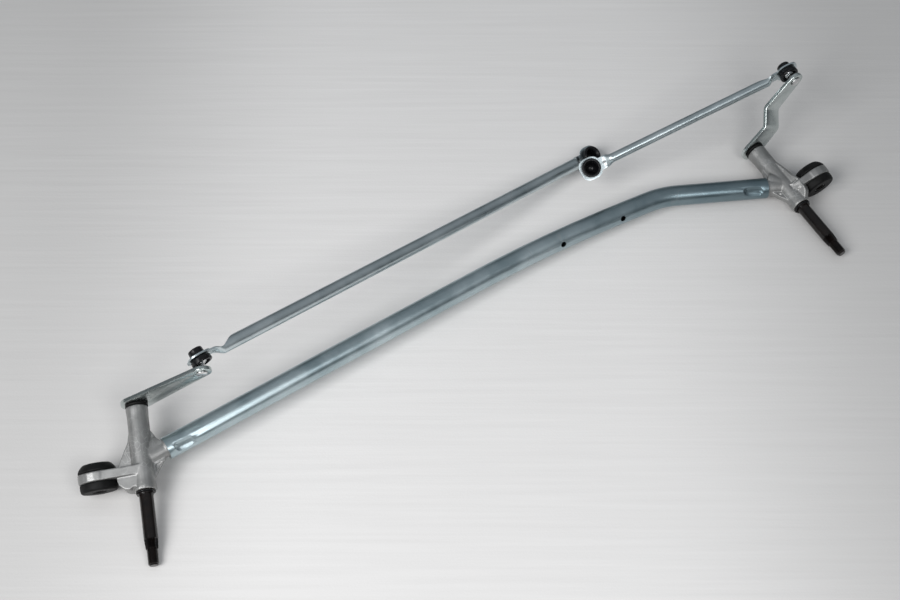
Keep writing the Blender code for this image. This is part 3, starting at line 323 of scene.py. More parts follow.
# %% Crank zinc
crank_zinc, tree, shader, place = start_finish("crank zinc plate", 1.0)
bloom = use_group(tree, grain, Vector=place, Cloud_Scale=55.0, Grain_Scale=1100.0)
rub = use_group(tree, rubs, Vector=place, Scale=160.0, Amount=0.05).outputs["Rub"]
clouded = mix_colour(tree, bloom.outputs["Cloud"], (0.50, 0.55, 0.54), (0.68, 0.73, 0.72))
tree.links.new(mix_colour(tree, spread(tree, rub, 0.0, 0.5), clouded, (0.85, 0.87, 0.87)),
               shader.inputs["Base Color"])
tree.links.new(spread(tree, bloom.outputs["Cloud"], 0.30, 0.17), shader.inputs["Roughness"])
finish_bump(tree, shader, bloom.outputs["Height"], 0.12, 0.0002)
print("finish:", crank_zinc.name)

# %% [markdown]
# ## Cast and machined aluminium
#
# The housings are die castings: a grey matte skin with a fine grain and soft clouds. The two
# rims of each barrel are faced on a lathe, so they shine more and carry fine rings. The rings
# come from a wave texture turned to the barrel's axis, which is why that finish is made twice.

# %% Cast aluminium
cast_skin, tree, shader, place = start_finish("cast aluminium", 0.75)
bloom = use_group(tree, grain, Vector=place, Cloud_Scale=75.0, Grain_Scale=1300.0)
rub = use_group(tree, rubs, Vector=place, Scale=210.0, Amount=0.06).outputs["Rub"]
clouded = mix_colour(tree, bloom.outputs["Cloud"], (0.27, 0.27, 0.265), (0.38, 0.38, 0.375))
tree.links.new(mix_colour(tree, spread(tree, rub, 0.0, 0.5), clouded, (0.74, 0.74, 0.73)),
               shader.inputs["Base Color"])
tree.links.new(spread(tree, bloom.outputs["Height"], 0.36, 0.56), shader.inputs["Roughness"])
skin_height = add_up(tree, bloom.outputs["Height"], bloom.outputs["Cloud"], 0.5)
finish_bump(tree, shader, skin_height, 0.35, 0.0004)
print("finish:", cast_skin.name)


# %% Machined rims
def machined_rim(name, middle, way):
    """Turned aluminium with rings about one axis."""
    finish, tree, shader, place = start_finish(name, 1.0)
    turn = way.to_track_quat("Z", "Y").to_euler()
    local = add_node(tree, "ShaderNodeMapping", {"vector_type": "TEXTURE"}, Vector=place,
                     Location=middle[:], Rotation=turn[:])
    rings = add_node(tree, "ShaderNodeTexWave", {"wave_type": "RINGS", "rings_direction": "Z"},
                     Vector=local.outputs["Vector"], Scale=700.0, Distortion=0.6, Detail=1.0)
    tree.links.new(mix_colour(tree, rings.outputs["Fac"], (0.66, 0.66, 0.65), (0.84, 0.84, 0.83)),
                   shader.inputs["Base Color"])
    tree.links.new(spread(tree, rings.outputs["Fac"], 0.22, 0.34), shader.inputs["Roughness"])
    finish_bump(tree, shader, rings.outputs["Fac"], 0.12, 0.0001)
    return finish


print("rim finish ready")

# %% [markdown]
# ## Black steel, rubber and plastic
#
# Three blacks meet on this part, and they must not look alike. The spindles are oiled black
# steel, with sharp reflections and faint brown clouds. The mounts are rubber, nearly matte. The
# ball sockets are moulded plastic, with an even soft sheen.

# %% Oiled black steel
black_steel, tree, shader, place = start_finish("oiled black steel", 0.0)
bloom = use_group(tree, grain, Vector=place, Cloud_Scale=120.0, Grain_Scale=1800.0)
rub = use_group(tree, rubs, Vector=place, Scale=260.0, Amount=0.04).outputs["Rub"]
oiled = mix_colour(tree, bloom.outputs["Cloud"], (0.003, 0.0025, 0.0025), (0.009, 0.0055, 0.0045))
tree.links.new(mix_colour(tree, spread(tree, rub, 0.0, 0.25), oiled, (0.05, 0.045, 0.04)),
               shader.inputs["Base Color"])
shader.inputs["Specular IOR Level"].default_value = 0.40
tree.links.new(spread(tree, bloom.outputs["Cloud"], 0.08, 0.18), shader.inputs["Roughness"])
finish_bump(tree, shader, bloom.outputs["Height"], 0.06, 0.0002)
print("finish:", black_steel.name)

# %% Mount rubber
mount_rubber, tree, shader, place = start_finish("mount rubber", 0.0)
bloom = use_group(tree, grain, Vector=place, Cloud_Scale=110.0, Grain_Scale=1600.0)
dusted = mix_colour(tree, bloom.outputs["Cloud"], (0.004, 0.004, 0.004), (0.012, 0.012, 0.012))
tree.links.new(dusted, shader.inputs["Base Color"])
shader.inputs["Specular IOR Level"].default_value = 0.15
tree.links.new(spread(tree, bloom.outputs["Height"], 0.42, 0.70), shader.inputs["Roughness"])
finish_bump(tree, shader, bloom.outputs["Height"], 0.30, 0.0004)
print("finish:", mount_rubber.name)

# %% Socket plastic
socket_plastic, tree, shader, place = start_finish("socket plastic", 0.0)
bloom = use_group(tree, grain, Vector=place, Cloud_Scale=200.0, Grain_Scale=2200.0)
moulded = mix_colour(tree, bloom.outputs["Cloud"], (0.003, 0.003, 0.004), (0.009, 0.009, 0.010))
tree.links.new(moulded, shader.inputs["Base Color"])
shader.inputs["Specular IOR Level"].default_value = 0.30
tree.links.new(spread(tree, bloom.outputs["Height"], 0.18, 0.34), shader.inputs["Roughness"])
finish_bump(tree, shader, bloom.outputs["Height"], 0.12, 0.0002)
print("finish:", socket_plastic.name)

# %% [markdown]
# ## Bright steel and bronze
#
# The balls are polished steel, and show between cup and crank and at their rivets. The bushes
# inside the barrels are sintered bronze with open pores. Nothing shows them while the spindles
# are in, yet they get their true finish.

# %% Polished steel
ball_steel, tree, shader, place = start_finish("polished steel", 1.0)
bloom = use_group(tree, grain, Vector=place, Cloud_Scale=240.0, Grain_Scale=2000.0)
tree.links.new(mix_colour(tree, bloom.outputs["Cloud"], (0.60, 0.60, 0.60), (0.80, 0.80, 0.80)),
               shader.inputs["Base Color"])
tree.links.new(spread(tree, bloom.outputs["Cloud"], 0.12, 0.30), shader.inputs["Roughness"])
finish_bump(tree, shader, bloom.outputs["Height"], 0.08, 0.0002)
print("finish:", ball_steel.name)

# %% Sintered bronze
bush_bronze, tree, shader, place = start_finish("sintered bronze", 1.0)
bloom = use_group(tree, grain, Vector=place, Cloud_Scale=150.0, Grain_Scale=2600.0)
tree.links.new(mix_colour(tree, bloom.outputs["Cloud"], (0.42, 0.28, 0.14), (0.62, 0.44, 0.24)),
               shader.inputs["Base Color"])
tree.links.new(spread(tree, bloom.outputs["Height"], 0.35, 0.60), shader.inputs["Roughness"])
finish_bump(tree, shader, bloom.outputs["Height"], 0.40, 0.0002)
print("finish:", bush_bronze.name)

# %% [markdown]
# ## Easing the edges of a solid
#
# The solids arrive as loose triangles with knife edges. A copy of each is merged, and its flat
# faces are made whole again, or its triangles are paired up if it is a turned piece that gets
# subdivided. A Bevel eases every edge sharper than a limit, and smooth shading by angle does the
# rest. The copy then stands for its node. Real parts never have a perfectly sharp edge, and the
# eased one catches the light.


# %% Helpers for copies of solids
MERGE = 0.000004


def only(piece):
    """Select one object and nothing else, and make it the active one."""
    bpy.ops.object.select_all(action="DESELECT")
    piece.select_set(True)
    bpy.context.view_layer.objects.active = piece


def apply_all(piece):
    """Apply every modifier of a piece."""
    only(piece)
    for modifier in list(piece.modifiers):
        bpy.ops.object.modifier_apply(modifier=modifier.name)


def copied(node, turned=False):
    """A merged copy of a solid, with whole flat faces, or four-sided ones on a turned piece."""
    piece = bpy.data.objects.new(node + "_dressed", frame["nodes"][node].data.copy())
    piece.data.name = piece.name
    bpy.context.scene.collection.objects.link(piece)
    only(piece)
    bpy.ops.object.mode_set(mode="EDIT")
    bpy.ops.mesh.select_all(action="SELECT")
    bpy.ops.mesh.remove_doubles(threshold=MERGE)
    if turned:
        bpy.ops.mesh.tris_convert_to_quads(face_threshold=radians(8.0),
                                           shape_threshold=radians(80.0))
    else:
        bpy.ops.mesh.dissolve_limited(angle_limit=radians(0.6))
    bpy.ops.object.mode_set(mode="OBJECT")
    return piece


def eased(piece, width, steps=2, limit=32.0, rounds=0):
    """Bevel the sharp edges, round the facets if asked, and shade by angle."""
    bevel = piece.modifiers.new("eased edges", "BEVEL")
    bevel.width = width
    bevel.segments = steps
    bevel.limit_method = "ANGLE"
    bevel.angle_limit = radians(limit)
    if rounds:
        soft = piece.modifiers.new("rounded facets", "SUBSURF")
        soft.levels = rounds
        soft.render_levels = rounds
    apply_all(piece)
    bpy.ops.object.shade_smooth_by_angle(angle=radians(28.0))
    return piece


def fused(name, parts):
    """Join several parts into one object."""
    bpy.ops.object.select_all(action="DESELECT")
    for part in parts:
        part.select_set(True)
    bpy.context.view_layer.objects.active = parts[0]
    bpy.ops.object.join()
    parts[0].name = name
    parts[0].data.name = name
    return parts[0]


def moved(piece, place):
    """Put a piece at its place and keep that place in its mesh."""
    piece.matrix_world = place
    only(piece)
    bpy.ops.object.transform_apply(location=True, rotation=True, scale=True)
    return piece


def stand_for(piece, node, body, finish):
    """Give the piece its finish, and let it stand for its node on its body."""
    piece.data.materials.clear()
    piece.data.materials.append(finish)
    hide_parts(node)
    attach(piece, body)
    print(piece.name, "has", len(piece.data.polygons), "faces")
    return piece


def dressed(node, body, slot, finish, width, **how):
    """Copy a solid, ease it and put it in the solid's place."""
    piece = eased(copied(node, turned="rounds" in how), width, **how)
    return stand_for(piece, node, body, finish)


print("edge helpers ready")

# %% [markdown]
# ## The bent tube
#
# The frame is one length of tube with two crimps that lock it on each housing and two holes for
# the motor's bracket. It is eased at the holes and ends, and one round of subdivision smooths
# its bends. The limit is high, so that the crimps keep their soft form.

# %% Frame tube
dressed("frame_tube", "frame", "zinc_plate", tube_zinc, width=0.0003, limit=50.0, rounds=1)

# %% [markdown]
# ## Rolled rods
#
# Each rod is one strip of sheet. It is flat and pierced at its eyes, bends down past a waist with
# a drain hole, and curls up until its edges meet in a seam on the side of the socket's cap. No
# operator rolls a sheet like this, so the strip is built section by section: at each station a
# rule gives its half width, how much it curls and how high its middle lies. Each size along the
# strip is a distance from the nearer ball.

# %% Pivot axes
PIVOTS = {joint["child"]: joint for joint in frame["joints"] if joint["parent"] == "frame"}
AXIS = {body: Vector(joint["axis"]).normalized() for body, joint in PIVOTS.items()}
SEAT = {body: Vector(joint["pos_m"]) for body, joint in PIVOTS.items()}
SWINGS = {joint["child"]: joint for joint in frame["joints"] if joint["parent"] != "frame"}
NEAR_BALL = {body: Vector(joint["pos_m"]) for body, joint in SWINGS.items()}
print("pivot axes of", sorted(AXIS), "and balls of", sorted(NEAR_BALL))

# %% Sizes of the rolled rods
SHEET = 0.0016
PLATE_HEIGHT = 0.0015
EYE = 0.0118
EYE_SQUARENESS = 2.8
EYE_TIP = 0.985
WAIST_HALF = 0.0066
WAIST_AT = 0.0170
BEND_FROM = 0.0140
BEND_TO = 0.0250
ROLL_END = 0.0470
SEAM = 0.0004
FLAT_CURL = 0.000001
EYE_HOLE = 0.0081
DRAIN_HOLE = 0.0016
DRAIN_AT = 0.0158
PUNCH = 0.0090
ROD_EASE = 0.00018
ACROSS = 28
NEAR_STEP = 0.00075
TUBE_STEPS = 16
RODS = {"long": {"pivot": "left_pivot", "way": LONG_ROD_WAY, "length": 0.5061,
                 "radius": 0.0065, "twist": -77.8, "finish": long_rod_zinc},
        "short": {"pivot": "right_pivot", "way": SHORT_ROD_WAY, "length": 0.2342,
                  "radius": 0.0050, "twist": 62.5, "finish": short_rod_zinc}}


def soft_step(value):
    """From 0 to 1 with a gentle start and end."""
    value = min(1.0, max(0.0, value))
    return value * value * (3.0 - 2.0 * value)


def strip_form(distance, middle_radius):
    """Half width, curl and middle height of the strip, by its distance from the nearer ball."""
    eye = 0.0
    if abs(distance) < EYE:
        eye = EYE * (1.0 - (abs(distance) / EYE) ** EYE_SQUARENESS) ** (1.0 / EYE_SQUARENESS)
    stem = 0.0
    if distance > 0.0:
        closed = pi * middle_radius - SEAM / 2
        widened = soft_step((distance - WAIST_AT) / (ROLL_END - WAIST_AT))
        stem = WAIST_HALF + (closed - WAIST_HALF) * widened
    bend = soft_step((distance - BEND_FROM) / (BEND_TO - BEND_FROM))
    middle = PLATE_HEIGHT - (PLATE_HEIGHT + middle_radius) * bend
    return max(eye, stem), bend / middle_radius, middle


def strip_section(along, length, middle_radius, twist):
    """Points of one section: the outer skin from edge to edge, then the inner skin back."""
    half, curl, middle = strip_form(min(along, length - along), middle_radius)
    turn = radians(twist) * min(1.0, max(0.0, (along - ROLL_END) / (length - 2 * ROLL_END)))
    skins = ([], [])
    for index in range(ACROSS + 1):
        span = half * (2.0 * index / ACROSS - 1.0)
        angle = curl * span
        aside = sin(angle) / curl if curl > FLAT_CURL else span
        rise = (1.0 - cos(angle)) / curl if curl > FLAT_CURL else 0.0
        for skin, offset in zip(skins, (SHEET / 2, -SHEET / 2)):
            y = aside + sin(angle) * offset
            z = middle + rise - cos(angle) * offset
            skin.append((along, y * cos(turn) - z * sin(turn), y * sin(turn) + z * cos(turn)))
    return skins[0] + skins[1][::-1]


def rod_stations(length):
    """Close together at the eyes and the roll, far apart along the tube."""
    near = [-EYE_TIP * EYE]
    while near[-1] + NEAR_STEP < ROLL_END:
        near.append(near[-1] + NEAR_STEP)
    near.append(ROLL_END)
    gap = (length - 2 * ROLL_END) / TUBE_STEPS
    tube = [ROLL_END + gap * step for step in range(1, TUBE_STEPS)]
    return near + tube + [length - value for value in reversed(near)]


print("rod stations:", len(rod_stations(RODS["long"]["length"])))


# %% Rolling a strip
def rolled_strip(name, length, radius, twist):
    """The strip as a closed mesh along X, from the near ball to the far one."""
    middle_radius = radius - SHEET / 2
    rings = [strip_section(spot, length, middle_radius, twist) for spot in rod_stations(length)]
    around = len(rings[0])
    faces = []
    for ring in range(len(rings) - 1):
        for index in range(around):
            after = (index + 1) % around
            faces.append((ring * around + index, ring * around + after,
                          (ring + 1) * around + after, (ring + 1) * around + index))
    for start in (0, (len(rings) - 1) * around):
        for index in range(ACROSS):
            faces.append((start + index, start + index + 1,
                          start + around - 2 - index, start + around - 1 - index))
    mesh = bpy.data.meshes.new(name)
    mesh.from_pydata([spot for ring in rings for spot in ring], [], faces)
    piece = bpy.data.objects.new(name, mesh)
    bpy.context.scene.collection.objects.link(piece)
    only(piece)
    bpy.ops.object.mode_set(mode="EDIT")
    bpy.ops.mesh.select_all(action="SELECT")
    bpy.ops.mesh.normals_make_consistent(inside=False)
    bpy.ops.object.mode_set(mode="OBJECT")
    return piece


def pierced(piece, place, radius):
    """Punch a round hole through the strip."""
    bpy.ops.object.select_all(action="DESELECT")
    bpy.ops.mesh.primitive_cylinder_add(vertices=48, radius=radius, depth=PUNCH)
    punch = bpy.context.object
    punch.matrix_world = place
    cut = piece.modifiers.new("hole", "BOOLEAN")
    cut.operation = "DIFFERENCE"
    cut.solver = "EXACT"
    cut.object = punch
    apply_all(piece)
    bpy.data.objects.remove(punch, do_unlink=True)


def link_rod(link):
    """One rod with its holes, in its place."""
    rod = RODS[link]
    node = link + "_link_rod"
    piece = rolled_strip(node + "_dressed", rod["length"], rod["radius"], rod["twist"])
    far_turn = Matrix.Rotation(radians(rod["twist"]), 4, "X")
    far_end = Matrix.Translation((rod["length"], 0.0, 0.0)) @ far_turn
    for end, inward in ((Matrix.Identity(4), 1.0), (far_end, -1.0)):
        pierced(piece, end @ Matrix.Translation((0.0, 0.0, PLATE_HEIGHT)), EYE_HOLE)
        waist = end @ Matrix.Translation((inward * DRAIN_AT, 0.0, PLATE_HEIGHT))
        pierced(piece, waist, DRAIN_HOLE)
    along = rod["way"].normalized()
    axis = AXIS[rod["pivot"]]
    cap = (axis - along * axis.dot(along)).normalized()
    place = Matrix((along, cap.cross(along), cap)).transposed().to_4x4()
    place.translation = NEAR_BALL[link + "_link"]
    moved(eased(piece, ROD_EASE, limit=40.0), place)
    stand_for(piece, node, link + "_link", rod["finish"])


for link in RODS:
    link_rod(link)

# %% [markdown]
# ## Cast housings
#
# A die casting has soft edges everywhere but at its faced rims, and its arm, webs and spigot grow
# out of the barrel with fillets. A bevel can't make those, so the copy gets a stout collar on
# the spigot, the root of its arm is drawn into the barrel, and a voxel Remesh flows all of it
# into one skin that is then smoothed. The ring faces at both ends of the barrel are found by
# their place and direction, and given the machined finish in a second material slot.

# %% Housings with faced rims
BARREL_REACH = 0.0108
BARREL_ENDS = (-0.0030, -0.0850)
SPIGOT_LEVEL = -0.0560
NECK = 0.0093
NECK_FROM = 0.0060
NECK_TO = {"left": 0.0232, "right": 0.0199}
VOXEL = 0.0006
ROOT_OUTSIDE = 0.0112
ROOT_INSIDE = 0.0085
ROOT_NEAR = 0.0022
ROOT_TALL = 0.0075
MOUTH_POINTS = 48


def neck_collar(side, way):
    """A stout collar round the spigot, up to the tube's end."""
    reach = NECK_TO[side] - NECK_FROM
    junction = SEAT[side + "_pivot"] + AXIS[side + "_pivot"] * SPIGOT_LEVEL
    middle = junction + way * (NECK_FROM + reach / 2)
    bpy.ops.object.select_all(action="DESELECT")
    bpy.ops.mesh.primitive_cylinder_add(vertices=48, radius=NECK, depth=reach, location=middle,
                                        rotation=way.to_track_quat("Z", "Y").to_euler())
    return bpy.context.object


def trim_arm_root(piece, side):
    """Draw the arm's root corners into the barrel, so that the arm grows out of it."""
    axis = AXIS[side + "_pivot"]
    low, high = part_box(side + "_grommet")
    eye = (Vector(low) + Vector(high)) / 2 - SEAT[side + "_pivot"]
    arm_level = eye.dot(axis)
    arm = (eye - axis * arm_level).normalized()
    drawn_in = 0
    for vertex in piece.data.vertices:
        out = vertex.co - SEAT[side + "_pivot"]
        level = out.dot(axis)
        radial = out - axis * level
        beside = abs(radial.dot(arm)) < ROOT_NEAR and abs(level - arm_level) < ROOT_TALL
        if beside and radial.length > ROOT_OUTSIDE:
            vertex.co = vertex.co - radial + radial.normalized() * ROOT_INSIDE
            drawn_in += 1
    print("arm root corners drawn in:", drawn_in)


def cast_copy(node, side, extras):
    """A casting with its added forms, flowed into one skin with soft fillets."""
    solid = copied(node)
    trim_arm_root(solid, side)
    piece = fused(node + "_dressed", [solid] + extras)
    only(piece)
    bpy.ops.object.transform_apply(location=True, rotation=True, scale=True)
    flow = piece.modifiers.new("one skin", "REMESH")
    flow.mode = "VOXEL"
    flow.voxel_size = VOXEL
    soften = piece.modifiers.new("fillets", "SMOOTH")
    soften.factor = 0.5
    soften.iterations = 7
    apply_all(piece)
    bpy.ops.object.shade_smooth()
    return piece


def tube_way(side):
    """The way of the spigot, from the barrel's axis to the middle of the tube's mouth."""
    spots = [vertex.co for vertex in frame["nodes"]["frame_tube"].data.vertices]
    spots.sort(key=lambda spot: spot.x)
    mouth = spots[:MOUTH_POINTS] if side == "left" else spots[-MOUTH_POINTS:]
    middle = sum(mouth, Vector()) / MOUTH_POINTS
    return (middle - SEAT[side + "_pivot"] - AXIS[side + "_pivot"] * SPIGOT_LEVEL).normalized()


for side in ("left", "right"):
    pivot = side + "_pivot"
    node = side + "_pivot_housing"
    piece = cast_copy(node, side, [neck_collar(side, tube_way(side))])
    housing = stand_for(piece, node, "frame", cast_skin)
    housing.data.materials.append(machined_rim(side + " faced rim", SEAT[pivot], AXIS[pivot]))
    rims = 0
    for face in housing.data.polygons:
        out = face.center - SEAT[pivot]
        level = out.dot(AXIS[pivot])
        reach = (out - AXIS[pivot] * level).length
        at_end = min(abs(level - end) for end in BARREL_ENDS) < VOXEL
        if at_end and abs(face.normal.dot(AXIS[pivot])) > 0.90 and reach < BARREL_REACH:
            face.material_index = 1
            rims += 1
    print(node, "has", rims, "faced faces")

# %% [markdown]
# ## Cranks
#
# The cranks are cut from 4 mm plate. A stamped edge has a rounded side and a rough one, so the
# bevel is wider than on the sheet rods.

# %% Cranks
for side in ("left", "right"):
    dressed(side + "_crank", side + "_pivot", "zinc_plate", crank_zinc, width=0.0003, limit=40.0)

# %% [markdown]
# ## Spindles
#
# A spindle is turned, then serrated on its cone so that the wiper arm can't slip, and threaded
# at the tip for the nut. It is made along Z at the origin: the shaft is a profile spun about the
# axis, the serrations are a cone with every other edge drawn in, and the thread is one V swept by
# a Screw modifier. Then all of it is moved to its pivot.

# %% Sizes of the spindle
RIVET_TOP = 0.0061
RIVET_HEAD = 0.0080
RIVET_NECK = 0.0060
HEAD_LOW = 0.0043
SHOULDER = -0.0003
SHAFT = 0.0065
TIP = -0.155
THREAD_TOP = -0.1395
CONE_TOP = -0.1310
THREAD_CREST = 0.0050
THREAD_ROOT = 0.0042
PITCH = 0.00125
GROOVE = 0.0056
CLIP_TOP = -0.0871
CLIP_LOW = -0.0882
TEETH = 60
TOOTH_ROOT = 0.93
CONE_WIDE = 0.0063
CONE_NARROW = 0.0056
CONE_CORE = 0.0052


# %% Spinning a profile
def spun(name, profile, steps=48):
    """Spin a (radius, height) profile once about Z, as on a lathe."""
    mesh = bpy.data.meshes.new(name)
    mesh.from_pydata([(radius, 0.0, height) for radius, height in profile],
                     [(index, index + 1) for index in range(len(profile) - 1)], [])
    piece = bpy.data.objects.new(name, mesh)
    bpy.context.scene.collection.objects.link(piece)
    only(piece)
    bpy.ops.object.mode_set(mode="EDIT")
    bpy.ops.mesh.select_all(action="SELECT")
    bpy.ops.mesh.spin(steps=steps, angle=2 * pi, center=(0.0, 0.0, 0.0), axis=(0.0, 0.0, 1.0))
    bpy.ops.mesh.select_all(action="SELECT")
    bpy.ops.mesh.remove_doubles(threshold=0.000001)
    bpy.ops.mesh.normals_make_consistent(inside=False)
    bpy.ops.object.mode_set(mode="OBJECT")
    bpy.ops.object.shade_smooth_by_angle(angle=radians(28.0))
    return piece


print("lathe ready")


# %% Shaft, serrations and thread
def spindle_shaft():
    """The turned shaft with its clip groove, shoulder and rivet head."""
    return spun("shaft", [
        (0.0, RIVET_TOP), (0.0055, RIVET_TOP - 0.0002), (0.0076, RIVET_TOP - 0.0009),
        (RIVET_HEAD, HEAD_LOW + 0.0001), (RIVET_HEAD, HEAD_LOW), (RIVET_NECK, HEAD_LOW),
        (RIVET_NECK, SHOULDER), (SHAFT, SHOULDER), (SHAFT, CLIP_TOP), (GROOVE, CLIP_TOP),
        (GROOVE, CLIP_LOW), (SHAFT, CLIP_LOW), (SHAFT, CONE_TOP + 0.0006), (0.0061, CONE_TOP),
        (CONE_CORE, CONE_TOP), (CONE_CORE, THREAD_TOP - 0.0004),
        (THREAD_ROOT, THREAD_TOP - 0.0010), (THREAD_ROOT, TIP + 0.0004),
        (THREAD_ROOT - 0.0005, TIP), (0.0, TIP)])


def serrated_cone():
    """A cone with a fine comb of teeth along it."""
    bpy.ops.object.select_all(action="DESELECT")
    bpy.ops.mesh.primitive_cone_add(vertices=2 * TEETH, radius1=CONE_NARROW, radius2=CONE_WIDE,
                                    depth=CONE_TOP - THREAD_TOP,
                                    location=(0.0, 0.0, (CONE_TOP + THREAD_TOP) / 2))
    cone = bpy.context.object
    bpy.ops.object.mode_set(mode="EDIT")
    bpy.ops.mesh.select_all(action="DESELECT")
    bpy.ops.object.mode_set(mode="OBJECT")
    for vertex in cone.data.vertices:
        turn = Vector((vertex.co.x, vertex.co.y)).angle_signed(Vector((0.0, 1.0)))
        vertex.select = round(turn / (pi / TEETH)) % 2 == 0
    bpy.ops.object.mode_set(mode="EDIT")
    bpy.ops.transform.resize(value=(TOOTH_ROOT, TOOTH_ROOT, 1.0), center_override=(0.0, 0.0, 0.0))
    bpy.ops.object.mode_set(mode="OBJECT")
    return cone


def tip_thread():
    """One V, swept along the tip as a screw thread."""
    mesh = bpy.data.meshes.new("thread")
    turns = int((THREAD_TOP - TIP) / PITCH) - 1
    low = TIP + 0.0008
    root = THREAD_ROOT - 0.0003
    mesh.from_pydata([(root, 0.0, low), (THREAD_CREST, 0.0, low + 0.42 * PITCH),
                      (THREAD_CREST, 0.0, low + 0.58 * PITCH), (root, 0.0, low + PITCH)],
                     [(0, 1), (1, 2), (2, 3)], [])
    thread = bpy.data.objects.new("thread", mesh)
    bpy.context.scene.collection.objects.link(thread)
    screw = thread.modifiers.new("thread", "SCREW")
    screw.steps = 32
    screw.render_steps = 32
    screw.screw_offset = PITCH
    screw.iterations = turns
    screw.use_normal_calculate = True
    apply_all(thread)
    bpy.ops.object.shade_smooth_by_angle(angle=radians(40.0))
    return thread


def spindle(side):
    """One spindle, standing on its pivot."""
    pivot = side + "_pivot"
    piece = fused(side + "_spindle_dressed", [spindle_shaft(), serrated_cone(), tip_thread()])
    turn = AXIS[pivot].to_track_quat("Z", "Y").to_matrix().to_4x4()
    return moved(piece, Matrix.Translation(SEAT[pivot]) @ turn)


for side in ("left", "right"):
    stand_for(spindle(side), side + "_spindle", side + "_pivot", black_steel)

# %% [markdown]
# ## Rubber mounts
#
# Each mount is a rubber bobbin pushed into the housing's eye, with a steel sleeve down its
# middle. The solid gives the outline, and one round of subdivision after the bevel turns its
# facets into soft moulded rubber.

# %% Grommets and sleeves
for side in ("left", "right"):
    dressed(side + "_grommet", "frame", "rubber", mount_rubber, width=0.0009, steps=3, rounds=1)
    dressed(side + "_grommet_sleeve", "frame", "black_steel", black_steel, width=0.0002, rounds=1)

# %% [markdown]
# ## Ball joints
#
# A polished ball is riveted to each crank, and a plastic cup snaps over it. Both are small turned
# shapes: the balls get one round of subdivision after the bevel, and the cups, whose round rims
# face the camera, get two.

# %% Balls and sockets
for side in ("left", "right"):
    dressed(side + "_ball_stud", side + "_pivot", "bare_steel", ball_steel, width=0.0002, rounds=1)
for link in ("long", "short"):
    for end in ("near", "far"):
        node = link + "_link_" + end + "_socket"
        dressed(node, link + "_link", "black_plastic", socket_plastic, width=0.0003, rounds=2)

# %% [markdown]
# ## Seals, washers, clips and bushes
#
# The last rings keep water out and the spindle in. They are thin, so a small bevel and at most
# one round of subdivision are enough. The bronze bushes sit deep inside the barrels: the solids
# stay as they are and only get their finish.

# %% Rings and bushes
for side in ("left", "right"):
    pivot = side + "_pivot"
    dressed(side + "_seal_ring", pivot, "rubber", mount_rubber, width=0.0003, rounds=1)
    dressed(side + "_lower_washer", pivot, "black_plastic", socket_plastic, width=0.0002, rounds=1)
    dressed(side + "_circlip", pivot, "black_steel", black_steel, width=0.0001)
    for level in ("upper", "lower"):
        bush = frame["nodes"][side + "_" + level + "_bush"]
        bush.data.materials.clear()
        bush.data.materials.append(bush_bronze)
print("rings and bushes done")
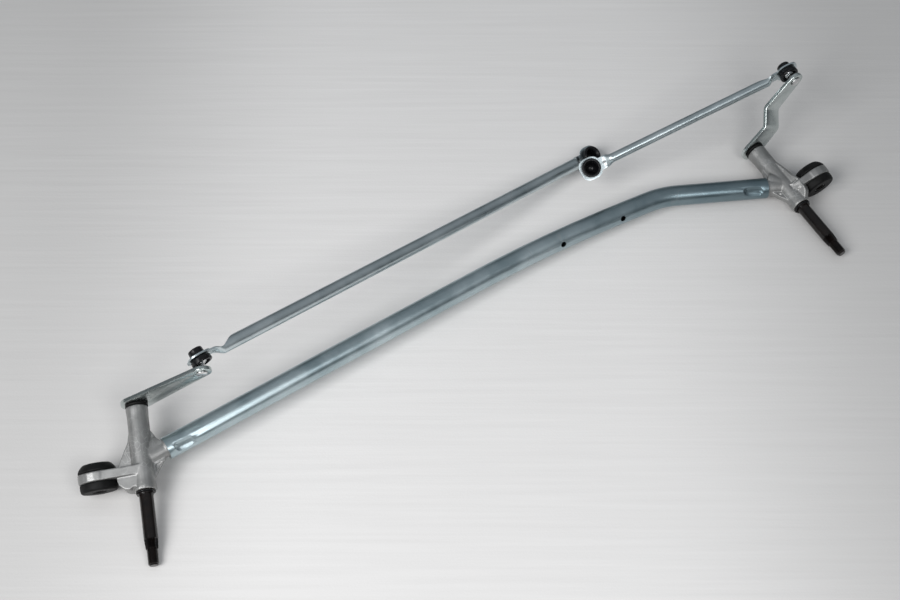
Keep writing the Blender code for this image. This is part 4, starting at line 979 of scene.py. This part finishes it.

# %% [markdown]
# ## Bench and light
#
# The linkage lies on a sheet of pale packing foam with a faint ribbed skin. The floor is one
# plane, whose noise is stretched along the picture and whose colour is painted darker toward both
# sides, a painted falloff of the light. A large softbox at the left gives the light and a soft
# shadow, and a small one at the camera's side draws one long highlight on round parts. The room is
# darker toward the horizon, so that bright metal has something dark to mirror.

# %% Foam floor
bpy.ops.object.select_all(action="DESELECT")
bpy.ops.mesh.primitive_plane_add(size=8.0, location=(0.0, 0.0, 0.0))
floor = bpy.context.object
floor.name = "foam_floor"
foam, tree, shader, place = start_finish("packing foam", 0.0)
ribs = use_group(tree, drawn, Vector=place, Turn=(0.0, 0.0, CAMERA_TURN[2]), Length=0.12,
                 Width=0.004)
bloom = use_group(tree, grain, Vector=place, Cloud_Scale=7.0, Grain_Scale=420.0)
ribbed = mix_colour(tree, spread(tree, ribs.outputs["Streak"], 0.0, 1.0), (0.820, 0.802, 0.790),
                    (0.915, 0.898, 0.886))
clouded = mix_colour(tree, spread(tree, bloom.outputs["Cloud"], 0.0, 0.25), ribbed,
                     (0.83, 0.815, 0.80))
# Painted shade: the floor's colour is darkened toward both sides of the picture, standing in for light
# that falls off.
level = add_node(tree, "ShaderNodeMapping", Vector=place, Rotation=(0.0, 0.0, -CAMERA_TURN[2]))
sideways = add_node(tree, "ShaderNodeSeparateXYZ", Vector=level.outputs["Vector"]).outputs["X"]
outward = add_node(tree, "ShaderNodeMath", {"operation": "ABSOLUTE"})
tree.links.new(sideways, outward.inputs[0])
painted_falloff = add_node(tree, "ShaderNodeMapRange", {"interpolation_type": "SMOOTHSTEP"},
                Value=outward.outputs["Value"], From_Min=0.14, From_Max=0.46, To_Max=0.38)
tree.links.new(mix_colour(tree, painted_falloff.outputs["Result"], clouded, (0.26, 0.257, 0.252)),
               shader.inputs["Base Color"])
shader.inputs["Roughness"].default_value = 0.85
foam_height = add_up(tree, ribs.outputs["Streak"], bloom.outputs["Height"], 0.4)
finish_bump(tree, shader, foam_height, 0.25, 0.001)
floor.data.materials.append(foam)
print("floor:", floor.name)


# %% Lamps and surroundings
def lamp(name, place, size, power):
    """A rectangular area lamp that faces the middle of the bench."""
    light = bpy.data.lights.new(name, "AREA")
    light.shape = "RECTANGLE"
    light.size, light.size_y = size
    light.energy = power
    holder = bpy.data.objects.new(name, light)
    bpy.context.scene.collection.objects.link(holder)
    holder.location = place
    holder.rotation_euler = (-Vector(place)).to_track_quat("-Z", "Y").to_euler()


lamp("camera_side_softbox", (-0.10, -1.15, 1.25), size=(0.6, 0.5), power=6.0)
lamp("left_softbox", (-1.60, -0.50, 1.50), size=(1.2, 1.2), power=34.0)
world = bpy.data.worlds.new("soft_room")
bpy.context.scene.world = world
world.use_nodes = True
room = world.node_tree
direction = room.nodes.new("ShaderNodeTexCoord").outputs["Generated"]
height = add_node(room, "ShaderNodeSeparateXYZ", Vector=direction).outputs["Z"]
ceiling = add_node(room, "ShaderNodeMapRange", Value=height, From_Min=0.0, From_Max=0.90)
sky = mix_colour(room, ceiling.outputs["Result"], (0.04, 0.05, 0.055), (0.32, 0.34, 0.36))
room.links.new(sky, room.nodes["Background"].inputs["Color"])
